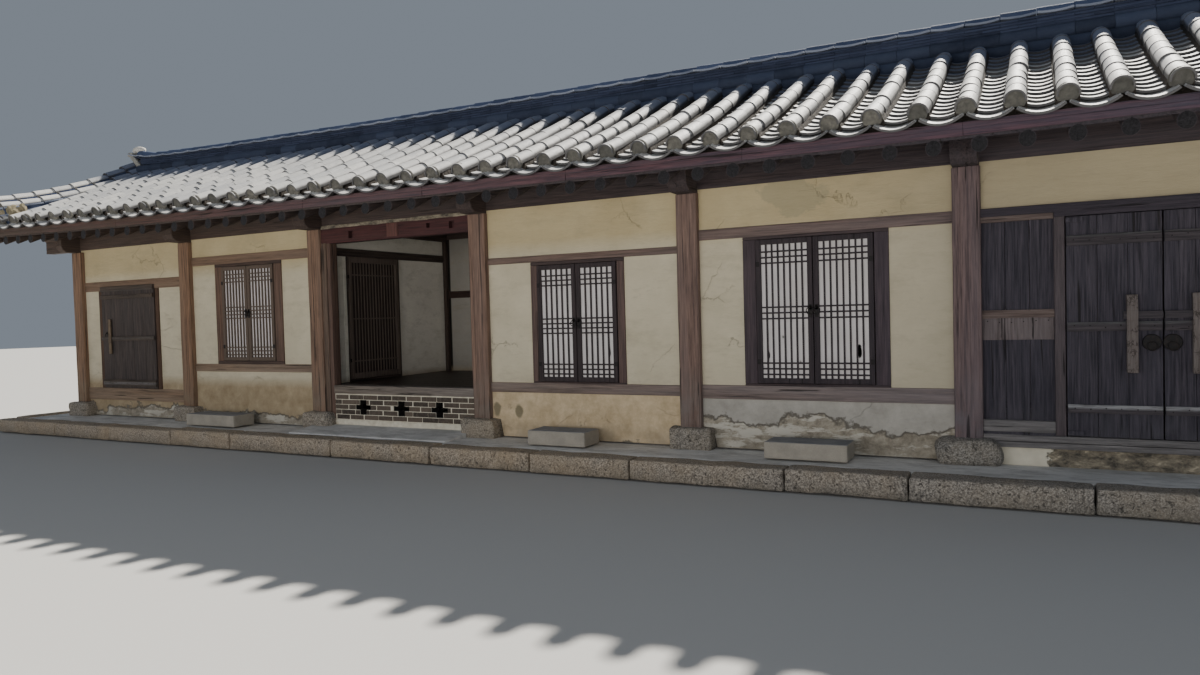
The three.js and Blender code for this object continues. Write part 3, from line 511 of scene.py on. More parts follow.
rail_wood = timber_finish(
    "rail timber", "x", (0.046, 0.030, 0.026), (0.250, 0.168, 0.134), (0.270, 0.212, 0.185), 0.7
)
rear_parts = []
for low, high in column_boxes:
    post = block((low.x, -high.y, low.z), (high.x, -low.y, high.z), 0.011, 8, along=2)
    rear_parts += coat(post_wood, wear(post, 0.010, 0.5))
rear_rail_heights = ((2.153, 2.252), (0.675, 0.785))
for x0, x1 in zip(column_x, column_x[1:]):
    for z0, z1 in rear_rail_heights:
        rail = block((x0 + 0.09, -timber_back, z0), (x1 - 0.09, -wall_face, z1), 0.007, 6, along=0)
        rear_parts += coat(rail_wood, wear(rail, 0.008, 0.4))
settle("rear_frame_timbers", rear_parts, ("rear_frame",))


# Timber frame: cross beams, purlins and rafters
# Beams lie across on the columns and carry the purlins; round pine rafters, one ja apart, run
# over them to the eave. All of it is smoke-dark under the roof.
def ease_edges(node, width):
    """Rounds the edges of a solid that stays in view."""
    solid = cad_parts[node]
    solid.modifiers.new("close", "WELD").merge_threshold = 0.0004
    rounded = solid.modifiers.new("ease", "BEVEL")
    rounded.width = width
    rounded.segments = 2
    rounded.limit_method = "ANGLE"
    rounded.angle_limit = math.radians(40)


def finish_node(node, finish):
    """Gives a solid that stays in view its finish."""
    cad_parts[node].data.materials.clear()
    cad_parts[node].data.materials.append(finish)


smoked = (0.022, 0.016, 0.018), (0.105, 0.074, 0.068), (0.095, 0.082, 0.086)
beam_wood = timber_finish("beam timber", "y", *smoked, 0.55)
for i in range(7):
    finish_node(f"cross_beam_{i + 1}", beam_wood)
    ease_edges(f"cross_beam_{i + 1}", 0.008)


def log_model(radius, length, sides):
    """A round log lying along +Y from the origin, with a slightly worn rim at each end."""
    log = shape(
        bpy.ops.mesh.primitive_cylinder_add, vertices=sides, radius=radius, depth=length,
        location=(0, length / 2, 0), rotation=(math.radians(-90), 0, 0),
    )
    return edit(log, eased(radius * 0.08, 1))


def copies(model, places):
    """Copies a model to many places, each copy with its own mesh and its own tone from 0 to 1."""
    made = []
    for place in places:
        copy = bpy.data.objects.new(model.name, model.data.copy())
        tone = copy.data.attributes.new("tone", "FLOAT", "POINT")
        tone.data.foreach_set("value", [chance.random()] * len(copy.data.vertices))
        copy.data.transform(place)
        bpy.context.scene.collection.objects.link(copy)
        made.append(copy)
    bpy.data.objects.remove(model)
    return made


purlin_wood = timber_finish("purlin timber", "x", *smoked, 0.55)
eave_purlin_axis = 2.957
for name in ("front_purlin", "rear_purlin", "ridge_purlin"):
    low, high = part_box(name)
    finish_node(name, purlin_wood)
    radius = (high.y - low.y) / 2 + 0.0005
    axis_z = high.z - radius if name == "ridge_purlin" else eave_purlin_axis
    log = log_model(radius * 1.015, high.x - low.x - 0.002, 28)
    log_end = Matrix.Translation((high.x - 0.001, (low.y + high.y) / 2, axis_z))
    log.data.transform(log_end @ Matrix.Rotation(math.pi / 2, 4, "Z"))
    coat(purlin_wood, log)
    settle(name + "_log", [log])


def top_of(node):
    """Height of a solid's upper side over a place in plan."""
    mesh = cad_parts[node].data
    tree = BVHTree.FromPolygons([v.co for v in mesh.vertices], [tuple(p.vertices) for p in mesh.polygons])
    return lambda x, y: tree.ray_cast(Vector((x, y, 9)), Vector((0, 0, -1)))[0].z


soffit_boards = timber_finish(
    "soffit boards", "y", (0.022, 0.018, 0.021), (0.085, 0.064, 0.062), (0.075, 0.066, 0.072), 0.5
)
ja = 0.303
rafter_radius = 0.0555
rafter_drop = 0.085
rafter_foot = 2.1845
rafter_wood = timber_finish(
    "rafter timber", "y", (0.022, 0.017, 0.020), (0.095, 0.070, 0.068), (0.080, 0.070, 0.078), 0.5
)
tree, shader, side_grain = reopen(rafter_wood)
cut_end = both(own_axis(tree, "Y"), 0.0, "ABSOLUTE")
cut_end = between(cut_end, rafter_foot - 0.0012, rafter_foot - 0.0004)
ring_checks = between(noise(own_place(tree, (60, 1, 60)), 1.0, 6, 0.8), 0.42, 0.62)
end_grain = mix(ring_checks, (0.006, 0.006, 0.007), (0.030, 0.027, 0.032))
paint(shader, mix(cut_end, side_grain, end_grain))
probe_near, probe_far = 0.3, 2.0
for name, side in (("front_rafters", -1), ("rear_rafters", 1)):
    finish_node(name, soffit_boards)
    boarding_top = top_of(name)
    rise_across = boarding_top(0, side * probe_near) - boarding_top(0, side * probe_far)
    pitch = math.atan2(rise_across, probe_far - probe_near)
    leant = Matrix(((1, 0, 0, 0), (0, 1, 0, 0), (0, math.tan(pitch), 1 / math.cos(pitch), 0), (0, 0, 0, 1)))
    inward = Matrix.Rotation(0 if side < 0 else math.pi, 4, "Z")
    places = []
    for k in range(-26, 27):
        x = (k + 0.5) * ja
        z = boarding_top(x, side * probe_far) + (probe_far - rafter_foot) * math.tan(pitch) - rafter_drop
        spread = Matrix.Rotation(chance.uniform(-0.002, 0.002), 4, "Z")
        places.append(Matrix.Translation((x, side * rafter_foot, z)) @ spread @ inward @ leant)
    logs = copies(log_model(rafter_radius, rafter_foot - 0.02, 18), places)
    coat(rafter_wood, *logs)
    settle(name + "_logs", logs)


# Eave boards
# A level board stands on the rafter ends, and on it a second one, hollowed under each trough,
# carries the lowest tiles. Both keep the last of a red paint.
eave_reach = cad_box[1][1]
boards_end = 8.159
eave_board_y, rafter_end_y = 2.168, 2.187
board_length, boards_in_a_row = 1.632, 10
lower_board_foot, board_joint, upper_board_top = -0.084, -0.034, 0.014
eave_red = timber_finish(
    "eave board", "x", (0.034, 0.023, 0.033), (0.195, 0.090, 0.098), (0.088, 0.077, 0.098), 0.72,
)
tree, shader, colour = reopen(eave_red)
faded = between(own_axis(tree, "X"), -2.0, -5.5, 0.0, 0.75)
faded = both(faded, between(noise(own_place(tree, (1, 8, 8)), 1.4, 6, 0.7), 0.30, 0.62))
paint(shader, mix(faded, colour, (0.072, 0.054, 0.036)))
for name, side in (("front_rafters", -1), ("rear_rafters", 1)):
    board_top = top_of(name)
    eave_boards = []
    for i in range(boards_in_a_row):
        x0, x1 = (board_length * (n - boards_in_a_row / 2) for n in (i, i + 1))
        z0, z1 = (board_top(min(max(x, -boards_end), boards_end), side * rafter_end_y) for x in (x0, x1))
        slope = math.atan2(z1 - z0, x1 - x0)
        placed = Matrix.Translation((x0, side * eave_board_y, z0)) @ Matrix.Rotation(-slope, 4, "Y")
        lower_corners = (0.0015, -0.0285, lower_board_foot), (board_length - 0.0015, 0.0285, board_joint)
        upper_corners = (
            (-0.001, -0.0255, board_joint + 0.001), (board_length - 0.003, 0.0255, upper_board_top),
        )
        for board in (block(*lower_corners, 0.004, 3, along=0), block(*upper_corners, 0.003, 3, along=0)):
            board.data.transform(placed)
            eave_boards.append(wear(board, 0.005, 0.3))
    coat(eave_red, *eave_boards)
    settle(name.split("_")[0] + "_eave_board", eave_boards)


# Roof tiles
# Fired grey clay on a bed of earth. Trough tiles overlap by more than half, and round tiles cover
# their edges end to end in rows a foot apart. Lime mortar closes each row at the eave.
def own_tone(tree):
    """The tone from 0 to 1 that each copy was given."""
    return put(tree, "ShaderNodeAttribute", attribute_name="tone").outputs["Fac"]


tile_clay, tree, shader = new_finish("roof tile clay", 0.62)
place = own_place(tree)
bloom = between(noise(place, 3.2, 7, 0.65), 0.3, 0.72)
pits = noise(place, 120, 4, 0.7)
colour = mix(own_tone(tree), (0.450, 0.455, 0.470), (0.680, 0.665, 0.640))
colour = mix(both(bloom, 0.40), colour, (0.630, 0.615, 0.585))
lichen = both(between(noise(place, 26, 3, 0.6), 0.63, 0.68), 0.5)
colour = mix(lichen, colour, (0.62, 0.60, 0.50))
soot = both(between(noise(place, 8, 5, 0.7), 0.55, 0.75), 0.40)
colour = mix(soot, colour, (0.20, 0.205, 0.215))
# Near the ridge the front slope is coloured dark blue: painted shadow of the ridge.
up_slope = own_axis(tree, "Y")
in_shade = between(both(up_slope, both(bloom, 0.10), "ADD"), -0.74, -0.52)
damp_and_shade = both(both(in_shade, both(up_slope, 0.0, "LESS_THAN")), 0.80)
colour = mix(damp_and_shade, colour, (0.050, 0.082, 0.175))
# Faces that look down, the tile lips and undersides, are coloured near black: painted shade.
shaded_under_lip = between(facing_up(tree), 0.42, 0.18)
paint(shader, mix(both(shaded_under_lip, 0.9), colour, (0.038, 0.036, 0.040)))
raise_surface(shader, both(pits, both(bloom, 1.5), "ADD"), 0.003)
join(shader.inputs["Roughness"], between(pits, 0.3, 0.7, 0.50, 0.75))

plug_mortar, tree, shader = new_finish("eave mortar", 0.95)
place = own_place(tree)
weathered = between(noise(place, 22, 6, 0.7), 0.35, 0.65)
colour = mix(own_tone(tree), (0.125, 0.122, 0.108), (0.240, 0.228, 0.195))
paint(shader, mix(both(weathered, 0.75), colour, (0.062, 0.060, 0.055)))
raise_surface(shader, both(weathered, noise(place, 170, 3, 0.8), "ADD"), 0.006)

# The earth's brown is its own, but it is coloured near black as painted shade in the hollows under the eave
# tiles.
bed_earth, tree, shader = new_finish("bedding earth", 0.97)
place = own_place(tree)
clods = between(noise(place, 18, 6, 0.7), 0.35, 0.65)
paint(shader, mix(clods, (0.030, 0.024, 0.020), (0.075, 0.060, 0.048)))
raise_surface(shader, clods, 0.008)

row_pitch = 0.3176
row_phase = 4.596
first_row, last_row = -39, 10
round_radius = 0.075
round_length = 0.296
trough_radius = 0.245
trough_half = 0.152
trough_length = 0.30
trough_wall = 0.018
exposure = 0.146
flat_head = 0.142
ridge_cover = 0.46
ridge_level, eave_level, slope_sag = 3.825, 2.865, 0.030
verge_in, verge_out = 7.40, 7.76
low_point_x = 5.0
boarding_top = top_of("front_rafters")


def roof_level(x, u):
    """Height that the tiles are set out to, at x and u out from the ridge line."""
    rise = boarding_top(min(max(x, -boards_end), boards_end), -1.0) - boarding_top(low_point_x, -1.0)
    down = max((u - flat_head) / (eave_reach - flat_head), 0.0)
    return ridge_level - (ridge_level - eave_level) * down - 4 * slope_sag * down * (1 - down) + rise


def on_slope(side, x, u, lift=0.0, tilt=0.0, skew=0.0):
    """The place at x and u out from the ridge line on one slope, with +Y looking up the slope."""
    down = max((u - flat_head) / (eave_reach - flat_head), 0.0)
    fall = ridge_level - eave_level + 4 * slope_sag * (1 - 2 * down)
    pitch = math.atan(fall / (eave_reach - flat_head))
    facing = Matrix.Rotation(0 if side < 0 else math.pi, 4, "Z")
    here = Matrix.Translation((x, side * u, roof_level(x, u) + lift))
    return here @ facing @ Matrix.Rotation(skew, 4, "Z") @ Matrix.Rotation(pitch + tilt, 4, "X")


def thicken(shell, thickness):
    """Gives a shell its wall, on its inner side."""
    wall = shell.modifiers.new("wall", "SOLIDIFY")
    wall.thickness = thickness
    wall.offset = -1
    pick(shell)
    bpy.ops.object.modifier_apply(modifier=wall.name)
    return shell


def cut_level(height, **kept):
    """The step that cuts everything on one side of a level plane."""
    return bpy.ops.mesh.bisect, {"plane_co": (0, 0, height), "plane_no": (0, 0, 1), **kept}


def half_round(radius, length, arc_sides, thickness, narrowing, cut=0.15):
    """A round tile: half a pipe along +Y from the origin, open below, narrower at its upper end."""
    shell = shape(
        bpy.ops.mesh.primitive_cone_add, vertices=2 * arc_sides, radius1=radius, radius2=radius * narrowing,
        depth=length, end_fill_type="NOTHING", location=(0, length / 2, 0),
        rotation=(math.radians(-90), 0, 0),
    )
    return thicken(edit(shell, cut_level(-cut * radius, clear_inner=True)), thickness)


def trough(radius, half, length, thickness):
    """A trough tile along +Y from the origin: a slice of a pipe, its lowest line on the Y axis."""
    shell = shape(
        bpy.ops.mesh.primitive_cylinder_add, vertices=round(10 * math.pi / math.asin(half / radius)),
        radius=radius, depth=length, end_fill_type="NOTHING",
        location=(0, length / 2, radius), rotation=(math.radians(-90), 0, 0),
    )
    rim = radius - math.sqrt(radius ** 2 - half ** 2)
    return thicken(edit(shell, cut_level(rim, clear_outer=True)), thickness)


def mortar_plug(radius, depth, cut=0.60):
    """The mortar that closes a round tile at its lower end, facing -Y, cut flat below the middle."""
    plug = shape(
        bpy.ops.mesh.primitive_cylinder_add, vertices=20, radius=radius, depth=depth,
        location=(0, depth / 2, 0), rotation=(math.radians(90), 0, 0),
    )
    return edit(plug, eased(radius * 0.14, 2), cut_level(-cut * radius, clear_inner=True, use_fill=True))


def earth_bed(node, reach):
    """The earth under the tiles of one slope: its solid, cut back at the eave and settled below them."""
    bed = bpy.data.objects.new("bed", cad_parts[node].data.copy())
    bpy.context.scene.collection.objects.link(bed)
    pick(bed)
    side = -1 if node.startswith("front") else 1
    bpy.ops.object.mode_set(mode="EDIT")
    bpy.ops.mesh.select_all(action="SELECT")
    bpy.ops.mesh.remove_doubles(threshold=0.0005)
    bpy.ops.mesh.select_all(action="SELECT")
    bpy.ops.mesh.bisect(plane_co=(0, side * reach, 0), plane_no=(0, side, 0), clear_outer=True, use_fill=True)
    over_verge = verge_in - 0.002
    for nearest, farthest, settling in ((0.0, over_verge, 0.045), (over_verge, 9.0, 0.085)):
        bpy.ops.mesh.select_all(action="DESELECT")
        bpy.ops.object.mode_set(mode="OBJECT")
        for vertex in bed.data.vertices:
            over_boards = vertex.co.z > roof_level(vertex.co.x, abs(vertex.co.y)) - 0.085
            vertex.select = over_boards and nearest <= abs(vertex.co.x) < farthest
        bpy.ops.object.mode_set(mode="EDIT")
        bpy.ops.transform.translate(value=(0, 0, -settling))
    bpy.ops.object.mode_set(mode="OBJECT")
    return bed


rows = [row_phase + k * row_pitch for k in range(first_row, last_row + 1)]
trough_rows = [x + row_pitch / 2 for x in rows[:-1]]
in_plan = 0.91
trough_seat = -0.082
lapped = math.atan(trough_wall / exposure)
for slope_name, side in (("front", -1), ("rear", 1)):
    node = slope_name + "_roof_tiles"
    round_places = []
    for x in rows:
        strayed = chance.uniform(-0.006, 0.006)
        u = eave_reach - 0.020
        while u > flat_head + 0.05:
            strayed = min(max(strayed + chance.uniform(-0.005, 0.005), -0.011), 0.011)
            lift = 0.004 + chance.uniform(-0.004, 0.004)
            sunk = -0.13 if u < ridge_cover else 0.0
            if abs(x) < verge_in + 0.05 or u > eave_reach - 0.30:
                round_places.append(on_slope(side, x + strayed, u, lift, sunk, chance.uniform(-0.018, 0.018)))
            opened = chance.uniform(0.006, 0.016) if chance.random() < 0.22 else 0.0
            u -= (round_length - 0.006 + opened) * in_plan
    rounds = copies(half_round(round_radius, round_length, 11, 0.014, 0.94), round_places)

    trough_places = []
    for x in trough_rows:
        lip_seat = trough_seat - chance.uniform(0.020, 0.027)
        trough_places.append(on_slope(side, x, eave_reach - 0.004, lip_seat, tilt=-0.5 * lapped))
        u = eave_reach - 0.004 - exposure * in_plan
        highest = flat_head + 0.02 if abs(x) < verge_in else eave_reach - 0.42
        while u > highest:
            trough_places.append(on_slope(
                side, x + chance.uniform(-0.004, 0.004), u + chance.uniform(-0.005, 0.005),
                trough_seat + chance.uniform(-0.002, 0.002), tilt=-lapped, skew=chance.uniform(-0.02, 0.02),
            ))
            u -= exposure * in_plan
    troughs = copies(trough(trough_radius, trough_half, trough_length, trough_wall), trough_places)
    coat(tile_clay, *rounds, *troughs)
    settle(slope_name + "_round_tiles", rounds)
    settle(slope_name + "_trough_tiles", troughs, (node,))

    plugs = copies(mortar_plug(round_radius * 0.99, 0.04), [
        on_slope(side, x + chance.uniform(-0.004, 0.004), eave_reach - 0.032, 0.002, tilt=0.10) for x in rows
    ])
    coat(plug_mortar, *[wear(plug, 0.007, 0.03) for plug in plugs])
    settle(slope_name + "_eave_plugs", plugs, corner=50)
    settle(slope_name + "_earth_bed", coat(bed_earth, earth_bed(node, 2.140)), (node,))


# Verge tiles
# Outside each verge ridge short rows lie across the slope and shed over the bargeboard.
verge_row_pitch, verge_row_count = 0.318, 7
first_verge_row = eave_reach - 0.082
verge_edge = 8.19
verge_tiles, verge_plugs = [], []
for end in (-1, 1):
    turned = Matrix.Rotation(math.pi / 2 * end, 4, "Z")
    for side in (-1, 1):
        leant = Matrix.Rotation(side * end * math.radians(25), 4, "Y")
        rounds, hollows, closed = [], [], []
        for i in range(verge_row_count):
            u = first_verge_row - verge_row_pitch * i
            outer = Vector((end * (verge_edge - 0.002), side * u, roof_level(end * verge_edge, u) - 0.006))
            fallen = turned @ leant @ Matrix.Rotation(0.05, 4, "X")
            rounds.append(Matrix.Translation(outer) @ fallen)
            closed.append(Matrix.Translation(outer - Vector((end * 0.014, 0, 0.002))) @ fallen)
            between_rows = u - verge_row_pitch / 2
            if between_rows < flat_head + 0.03:
                continue
            for reach in (0.0, 0.12, 0.24):
                level = roof_level(end * verge_edge, between_rows) - 0.092 + reach * 0.12
                at = Vector((end * (verge_edge + 0.006 - reach), side * between_rows, level))
                hollows.append(Matrix.Translation(at) @ turned @ leant @ Matrix.Rotation(-0.04, 4, "X"))
        verge_tiles += copies(half_round(round_radius, 0.42, 11, 0.014, 0.97), rounds)
        verge_tiles += copies(trough(trough_radius, trough_half, trough_length, trough_wall), hollows)
        verge_plugs += copies(mortar_plug(round_radius * 0.99, 0.04), closed)
coat(tile_clay, *verge_tiles)
settle("verge_tiles", verge_tiles)
coat(plug_mortar, *verge_plugs)
settle("verge_plugs", verge_plugs, corner=50)


# Main ridge
# Closing tiles stand between the rows, a course of round tiles lies on its side along them, then
# four courses of flat tile, a paler lipped course and round tiles end to end. Both ends sweep up.
ridge_top_at = top_of("roof_ridges")
roof_foot_at = top_of("front_roof_tiles")
ridge_build, ridge_piece = 0.345, 0.298
ridge_end, ridge_foot_end = 7.735, 7.30
lip_level, cap_level = 0.235, 0.259


def ridge_lie(x, up):
    """A place on the ridge line at a height of its build-up, lying along the ridge."""
    levels = []
    for at in (x - 0.1, x, x + 0.1):
        inside = min(max(at, -ridge_end), ridge_end)
        foot = roof_foot_at(inside, -0.02)
        levels.append(foot + up * (ridge_top_at(inside, 0.0) - foot) / ridge_build)
    slope = math.atan2(levels[2] - levels[0], 0.2)
    return Matrix.Translation((x, 0, levels[1])) @ Matrix.Rotation(-slope, 4, "Y")


def ridge_finish(name, dark, light, worn):
    """Fired clay of the ridge, coloured darker and bluer than the slopes as painted shade: each piece has its
    own tone.
    """
    finish, tree, shader = new_finish(name, 0.85)
    shader.inputs["Specular IOR Level"].default_value = 0.25
    place = own_place(tree)
    bloom = between(noise(place, 6, 6, 0.65), 0.38, 0.7)
    colour = mix(own_tone(tree), dark, light)
    paint(shader, mix(both(bloom, 0.4), colour, worn))
    raise_surface(shader, both(noise(place, 90, 4), bloom, "ADD"), 0.004)
    return finish


def flat_tile(length, width, height):
    """One flat tile of a ridge course, its edges a little rounded, centred on the origin."""
    return block((-length / 2, -width / 2, -height / 2), (length / 2, width / 2, height / 2), 0.004)


def end_at(level):
    """How far the ridge's build-up reaches along it at a level: its ends overhang upward."""
    return ridge_foot_end + (ridge_end - ridge_foot_end) * min(level / lip_level, 1.0)


def slid(x=0.0, y=0.0, z=0.0):
    """A shift along the axes."""
    return Matrix.Translation((x, y, z))


stations = [
    i * ridge_piece - ridge_end + ridge_piece / 2 for i in range(int(2 * ridge_end / ridge_piece) + 1)
]
stations = [x for x in stations if abs(x) < ridge_end]
# The ridge courses are coloured near black and blue: painted shade.
course_shade_clay = ridge_finish(
    "ridge course clay in painted shade", (0.018, 0.024, 0.046), (0.046, 0.059, 0.108), (0.067, 0.081, 0.134)
)
course_count, course_foot, course_height = 4, 0.123, 0.028
flats = []
for course in range(course_count):
    shift = ridge_piece * (0.5 if course % 2 else 0.0)
    level = course_foot + course_height * (course + 0.5)
    places = [
        ridge_lie(x + shift, level) @ slid(y=chance.uniform(-0.004, 0.004))
        for x in stations if abs(x + shift) < end_at(level) - ridge_piece / 3
    ]
    flats += copies(flat_tile(ridge_piece - 0.003, 0.276, course_height * 0.68), places)
coat(course_shade_clay, *flats)

shaded_clay = ridge_finish(
    "shaded ridge clay", (0.018, 0.024, 0.045), (0.046, 0.060, 0.105), (0.065, 0.080, 0.120)
)
lying_along = Matrix.Rotation(-math.pi / 2, 4, "Z")
closer_level, closer_y, closer_length = -0.062, 0.170, 0.26
closer_places = []
for x in trough_rows:
    if abs(x) < ridge_foot_end - 0.1:
        for y in (-closer_y, closer_y):
            stray = slid(-closer_length / 2, y, chance.uniform(-0.004, 0.004))
            closer_places.append(ridge_lie(x, closer_level) @ stray @ lying_along)
closers = copies(half_round(0.066, closer_length, 9, 0.014, 1.0, 0.9), closer_places)
side_level, side_y = 0.056, 0.146
front_outward = Matrix(((0, 1, 0), (0, 0, -1), (-1, 0, 0))).to_4x4()
rear_outward = Matrix(((0, 1, 0), (0, 0, 1), (1, 0, 0))).to_4x4()
side_places = []
for x in stations:
    if abs(x) < end_at(0.06):
        for y, outward in ((-side_y, front_outward), (side_y, rear_outward)):
            stray = slid(-ridge_piece / 2, y + chance.uniform(-0.003, 0.003))
            side_places.append(ridge_lie(x, side_level) @ stray @ outward)
side_rounds = copies(half_round(0.068, ridge_piece - 0.003, 12, 0.015, 0.97), side_places)
coat(shaded_clay, *closers, *side_rounds)

core = []
for core_foot, core_top in ((-0.09, 0.06), (0.05, 0.15), (0.14, lip_level)):
    reach = end_at(max(core_foot, 0.0)) - ridge_piece / 2
    places = [ridge_lie(x, (core_foot + core_top) / 2) for x in stations if abs(x) < reach]
    core += copies(flat_tile(ridge_piece + 0.002, 0.252, core_top - core_foot), places)
coat(course_shade_clay, *core)

# The lip course is paler, and its blue-grey is painted shade.
lip_clay = ridge_finish("ridge lip clay", (0.150, 0.175, 0.240), (0.275, 0.305, 0.385), (0.34, 0.36, 0.42))
lip_width = 0.312
lips = copies(trough(0.85, ridge_piece / 2 - 0.004, lip_width, 0.020), [
    ridge_lie(x, lip_level) @ slid(y=-lip_width / 2, z=chance.uniform(-0.002, 0.002)) for x in stations
])
coat(lip_clay, *lips)

# The cap tiles are coloured dark blue: painted shade.
ridge_shade_clay = ridge_finish(
    "ridge tile clay in painted shade", (0.034, 0.050, 0.105), (0.075, 0.103, 0.190), (0.105, 0.132, 0.205)
)
cap_places = []
for x in stations:
    settled = slid(y=chance.uniform(-0.004, 0.004), z=chance.uniform(-0.003, 0.003))
    starts = x if x == stations[0] else x - ridge_piece / 2
    shortened = 0.5 if x in (stations[0], stations[-1]) else 1.0
    lies = ridge_lie(starts, cap_level) @ settled @ lying_along
    cap_places.append(lies @ Matrix.Diagonal((1, shortened, 1, 1)))
caps = copies(half_round(0.083, ridge_piece - 0.004, 12, 0.016, 0.92), cap_places)
coat(ridge_shade_clay, *caps)
settle("main_ridge", flats + closers + side_rounds + core + lips + caps, ("roof_ridges",))


# Ridge ends
# Lime mortar closes the overhanging end of the courses in a slanting band, and over it the mason
# has built a knob of white lime, thick outside and tapering inward along the cap.
lime_mortar, tree, shader = new_finish("lime mortar", 0.93)
place = own_place(tree)
weathered = between(noise(place, 14, 6, 0.65), 0.35, 0.65)
paint(shader, mix(weathered, (0.235, 0.228, 0.205), (0.42, 0.41, 0.37)))
raise_surface(shader, both(weathered, noise(place, 170, 3, 0.8), "ADD"), 0.006)

white_lime, tree, shader = new_finish("white lime", 0.9)
place = own_place(tree)
weathered = between(noise(place, 9, 6, 0.65), 0.3, 0.7)
paint(shader, mix(weathered, (0.58, 0.56, 0.51), (0.80, 0.785, 0.74)))
raise_surface(shader, both(weathered, noise(place, 150, 3), "ADD"), 0.004)

band_foot_sunk, band_middle, ledge_at, knob_at = 0.06, 7.5, 7.745, 7.720
knob_size = (0.142, 0.120, 0.098)
for end, end_name in ((-1, "left"), (1, "right")):
    foot = roof_foot_at(end * band_middle, -0.02) - band_foot_sunk
    crest = cad_box[1][2] - 0.004 if end < 0 else ridge_top_at(end * 7.77, 0.0) - 0.004
    lip_end = ridge_lie(end * 7.70, lip_level).translation.z
    left, right = sorted((-end * 0.070, end * 0.040))
    band = wear(block((left, -0.148, 0.0), (right, 0.148, lip_end - foot), 0.012, 6), 0.014, 0.07)
    overhang = end * (ridge_end - ridge_foot_end - 0.05) / (lip_end - foot)
    slanted = ((1, 0, overhang, end * ridge_foot_end), (0, 1, 0, 0), (0, 0, 1, foot), (0, 0, 0, 1))
    band.data.transform(Matrix(slanted))
    ledge = wear(block((0.010, -0.150, -0.018), (0.12, 0.150, 0.040), 0.012, 5), 0.014, 0.06)
    ledge.data.transform(
        slid(end * ledge_at, 0, lip_end) @ Matrix.Rotation(0 if end < 0 else math.pi, 4, "Z")
    )
    coat(lime_mortar, band, ledge)
    knob = shape(
        bpy.ops.mesh.primitive_uv_sphere_add, segments=28, ring_count=16, radius=1,
        location=(end * knob_at, 0, crest - 0.060), scale=knob_size,
    )
    for reach, thinner in ((7.72, 0.84), (7.65, 0.72)):
        for vertex in knob.data.vertices:
            vertex.select = abs(vertex.co.x) < reach
        bpy.ops.object.mode_set(mode="EDIT")
        bpy.ops.mesh.select_mode(type="VERT")
        bpy.ops.transform.resize(
            value=(1.0, thinner, thinner), center_override=(end * reach, 0, crest - 0.130)
        )
        bpy.ops.transform.translate(value=(-end * 0.035, 0, 0))
        bpy.ops.object.mode_set(mode="OBJECT")
    coat(white_lime, wear(knob, 0.018, 0.07))
    settle(end_name + "_ridge_end", [band, ledge, knob], corner=50)


# Verge ridges
# Two rows of round tiles run down near each gable, the outer a step above the inner, on flat
# courses that grow towards the eave. A lump of mossy mortar closes the lower end.
mossy_mortar, tree, shader = new_finish("mossy mortar", 0.95)
place = own_place(tree)
moss = between(noise(place, 12, 6, 0.7), 0.4, 0.6)
paint(shader, mix(moss, (0.40, 0.335, 0.225), (0.235, 0.205, 0.125)))
raise_surface(shader, both(moss, noise(place, 80, 4), "ADD"), 0.01)
verge_foot = eave_reach - 0.055
verge_radius, verge_spacing, verge_pieces = 0.082, 0.273, 8
verge_step = 0.088
head_height, foot_growth = 0.155, 0.213
verge_parts, verge_lumps = [], []
for end in (-1, 1):
    middle = end * (verge_in + verge_out) / 2
    for side in (-1, 1):
        for offset, step in ((0.088, 0.0), (-0.085, verge_step)):
            x = middle + end * offset
            pipes = []
            for i in range(verge_pieces):
                u = verge_foot - verge_spacing * i
                leant = 2 * foot_growth * u / eave_reach ** 2
                built_up = head_height + foot_growth * (u / eave_reach) ** 2 + 0.05 * max(0.0, 1 - u / 0.8)
                seat = built_up - step - verge_radius
                slipped = chance.uniform(-0.004, 0.006)
                pipes.append(on_slope(side, x, u + slipped, seat, -leant, chance.uniform(-0.012, 0.012)))
                support = block((-0.080, 0.012, -0.080 - max(seat, 0.0)), (0.080, 0.30, 0.012), 0.004)
                support.data.transform(on_slope(side, x, u, seat, -leant))
                verge_parts += coat(ridge_shade_clay, support)
                if step and seat > 0.02:
                    left, right = sorted((-end * 0.178, end * 0.150))
                    for share in (1.0, 0.45):
                        laid_at = u + chance.uniform(-0.008, 0.008)
                        lies = on_slope(side, middle, laid_at, seat * share - 0.006, -leant * share)
                        plate = copies(block((left, 0, -0.011), (right, 0.272, 0.011), 0.004), [lies])
                        verge_parts += coat(lip_clay, *plate)
            verge_parts += coat(tile_clay, *copies(half_round(verge_radius, 0.318, 11, 0.015, 0.92), pipes))
            closed = copies(mortar_plug(verge_radius * 0.98, 0.04, 0.2), [pipes[0] @ slid(y=0.016)])
            verge_lumps += coat(plug_mortar, *closed)
        left, right = sorted((-end * 0.192, end * 0.180))
        lump = block((left, -0.135, -0.285), (right, 0.17, -0.045), 0.055, 7)
        lump.data.transform(on_slope(side, middle, verge_foot - 0.115, 0.235, -0.12))
        verge_lumps += coat(mossy_mortar, wear(lump, 0.07, 0.09))
settle("verge_ridges", verge_parts, ("roof_ridges",))
settle("verge_ridge_foot_mortar", verge_lumps, corner=60)


# Plastered walls
# Clay on a wattle core with a fine lime coat. The upper panels are yellower where the eave keeps
# them dry, the lower ones greyer, and below the sills the coat has been patched again and again.
def distance_to(place, spot):
    """Distance of a place from a fixed spot."""
    made = put(place.id_data, "ShaderNodeVectorMath", operation="DISTANCE", Vector=place)
    made.inputs[1].default_value = spot
    return made.outputs["Value"]


